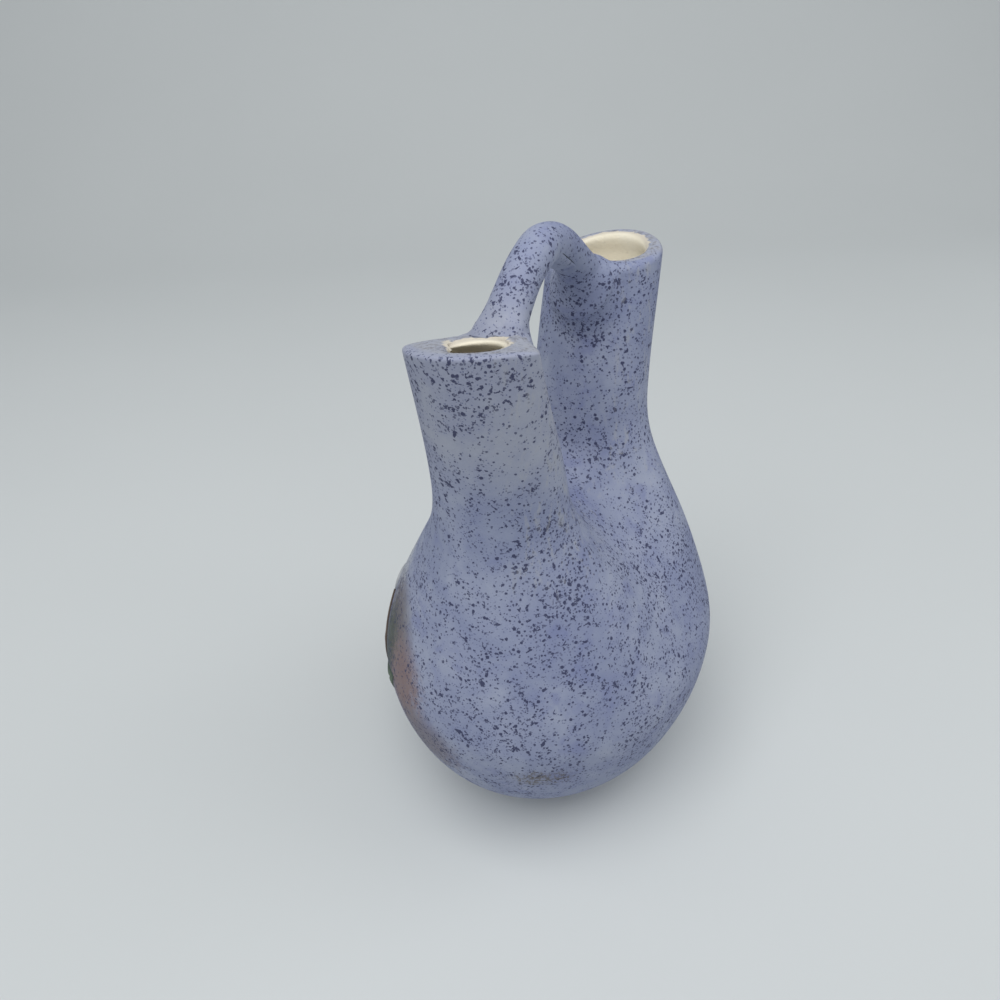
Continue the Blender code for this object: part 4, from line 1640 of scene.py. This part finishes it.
    def dress(self, bench: Workbench) -> None:
        """Place the roundel and both sprays, each piece with its coloured slip."""
        leaf = BareClay("leaf green slip", tint(96, 112, 96), tint(56, 70, 60), True).dress()
        bark = BareClay("bark brown slip", tint(104, 90, 82), tint(68, 58, 52), True).dress()
        bud = BareClay("pale grey slip", tint(194, 196, 199), tint(146, 150, 156), True).dress()
        rose = BareClay("terracotta slip", tint(168, 126, 108), tint(112, 80, 70), True).dress()
        bench.place("front_roundel", self.roundel(), Slot.TERRACOTTA, rose)
        for side in Side:
            bench.place(f"{side.word}_stem", self.stem(side), Slot.BARK, bark)
            for number in range(1, len(self.leaf_places) + 1):
                bench.place(f"{side.word}_leaf_{number}", self.leaf(side, number), Slot.LEAF, leaf)
            bench.place(f"{side.word}_bud", self.bud(side), Slot.BUD, bud)


@dataclass(frozen=True)
class Studio:
    """A pale paper sweep, soft lamps and the camera."""

    paper: Colour = tint(206, 210, 211)
    paper_shade: Colour = tint(202, 206, 207)
    paper_half: float = 1.6
    paper_front: float = 2.2
    paper_behind: float = 0.42
    paper_bend: float = 0.35
    paper_top: float = 2.4
    bend_steps: int = 16
    aim: Triple = (0.0, 0.0, 60.0 * MM)
    room: Colour = (0.95, 0.98, 1.0, 1.0)
    room_strength: float = 0.42
    camera_at: Triple = (126.04 * MM, 61.44 * MM, 175.11 * MM)
    heading: float = math.radians(210.56)
    pitch: float = math.radians(35.1)
    roll: float = math.radians(-2.95)
    focal: float = 27.04
    sensor: float = 36.0

    def sweep(self) -> bpy.types.Object:
        """The floor, curving up to a backdrop behind the vase."""
        behind, bend = self.paper_behind, self.paper_bend
        profile = [(-self.paper_front, 0.0), (behind, 0.0)]
        for step in range(1, self.bend_steps + 1):
            angle = math.pi / 2 * step / self.bend_steps
            profile.append((behind + bend * math.sin(angle), bend * (1 - math.cos(angle))))
        profile.append((behind + bend, self.paper_top))
        away = Vector((math.cos(self.heading), math.sin(self.heading), 0))
        across = Vector((-away.y, away.x, 0))
        verts = []
        for run, rise in profile:
            for side in (-self.paper_half, self.paper_half):
                verts.append(away * run + across * side + Vector((0, 0, rise)))
        faces = [(2 * i, 2 * i + 1, 2 * i + 3, 2 * i + 2) for i in range(len(profile) - 1)]
        mesh = bpy.data.meshes.new("paper sweep")
        mesh.from_pydata(verts, [], faces)
        mesh.shade_smooth()
        bench = NodeBench("pale paper")
        tone = bench.blend(bench.noise(160, 2), self.paper, self.paper_shade)
        mesh.materials.append(bench.finish(tone, 0.9))
        made = bpy.data.objects.new("paper_sweep", mesh)
        bpy.context.scene.collection.objects.link(made)
        return made

    def lamp(self, name: str, place: Vector, size: float, power: float) -> bpy.types.Object:
        """A square soft lamp turned to the vase.

        Args:
            name: Its name.
            place: Where it hangs.
            size: Its side.
            power: Its power in watts.

        Returns:
            The lamp.
        """
        light = bpy.data.lights.new(name, "AREA")
        light.size = size
        light.energy = power
        made = bpy.data.objects.new(name, light)
        made.location = place
        made.rotation_mode = "QUATERNION"
        made.rotation_quaternion = (Vector(self.aim) - place).to_track_quat("-Z", "Y")
        bpy.context.scene.collection.objects.link(made)
        return made

    def lights(self) -> None:
        """A broad lamp over the vase, a weaker one behind it on the right, and even light all round."""
        self.lamp("softbox", Vector((0.3, 0.02, 0.8)), 0.65, 4.75)
        self.lamp("back softbox", Vector((-0.3, 0.5, 0.62)), 0.5, 1.1)
        world = bpy.data.worlds.new("room")
        world.use_nodes = True
        background = world.node_tree.nodes["Background"]
        background.inputs["Color"].default_value = self.room
        background.inputs["Strength"].default_value = self.room_strength
        bpy.context.scene.world = world

    def camera(self) -> bpy.types.Object:
        """The camera, above the right spout and a little behind it."""
        ahead = Vector((math.cos(self.pitch) * math.cos(self.heading),
                        math.cos(self.pitch) * math.sin(self.heading), -math.sin(self.pitch)))
        right = ahead.cross(Vector((0, 0, 1))).normalized()
        up = right.cross(ahead)
        rolled = right * math.cos(self.roll) + up * math.sin(self.roll)
        upright = up * math.cos(self.roll) - right * math.sin(self.roll)
        lens = bpy.data.cameras.new("camera")
        lens.lens = self.focal
        lens.sensor_width = self.sensor
        lens.clip_start = 0.005
        made = bpy.data.objects.new("camera", lens)
        turn = Matrix((rolled, upright, -ahead)).transposed().to_4x4()
        made.matrix_world = Matrix.Translation(Vector(self.camera_at)) @ turn
        bpy.context.scene.collection.objects.link(made)
        bpy.context.scene.camera = made
        return made

    def build(self) -> None:
        """Set up the sweep, the lights and the camera, with colours shown as written."""
        self.sweep()
        self.lights()
        self.camera()
        bpy.context.scene.view_settings.view_transform = "Standard"


def right_spout(body: Body) -> Spout:
    """The right spout, whose mouth is pinched front and back under a broad lip."""
    foot = HandleFoot(inset=-1.0 * MM, drop=3.8 * MM, flare=0.3, rise=1.6, brow=0.8,
                      root_lean=math.radians(24), root_length=13.0 * MM, splay=math.radians(14),
                      lip_fill=0.0)
    return Spout(Side.RIGHT, body, foot, height=125.6 * MM, reach=29.6 * MM, length=18.0 * MM,
                 width=25.8 * MM, slope=math.radians(11.5), tilt=math.radians(7.2), pinch=0.6, lopsided=0.08,
                 lip_spread=(1.1, 2.05), lip_shift=1.0 * MM, lip_edge=0.9 * MM, lip_fall=-0.25 * MM,
                 bare_bias=-0.3)


def left_spout(body: Body) -> Spout:
    """The left spout, whose mouth is rounder."""
    foot = HandleFoot(inset=-2.4 * MM, drop=-0.2 * MM, flare=0.03, rise=1.2, brow=1.3,
                      root_lean=math.radians(40), root_length=12.0 * MM, splay=math.radians(26),
                      lip_fill=0.9)
    return Spout(Side.LEFT, body, foot, height=124.8 * MM, reach=27.6 * MM, length=21.5 * MM,
                 width=25.9 * MM, slope=math.radians(11.1), tilt=math.radians(6.3), pinch=0.22, lopsided=0.0,
                 lip_spread=(0.9, 1.0), lip_shift=0.0, lip_edge=1.3 * MM, lip_fall=-0.1 * MM,
                 bare_bias=0.3)


def main() -> None:
    """Build the vase piece by piece, then the studio round it."""
    logging.basicConfig(level=logging.INFO, format="%(name)s: %(message)s")
    body = Body()
    right = right_spout(body)
    left = left_spout(body)
    bench = Workbench()
    skin = Vase(body, (right, left), BridgeHandle(right, left)).dress(bench)
    LeafyRelief(body, skin).dress(bench)
    LOG.info("%d pieces made", len(bench.made))
    Studio().build()


if __name__ == "__main__":
    main()
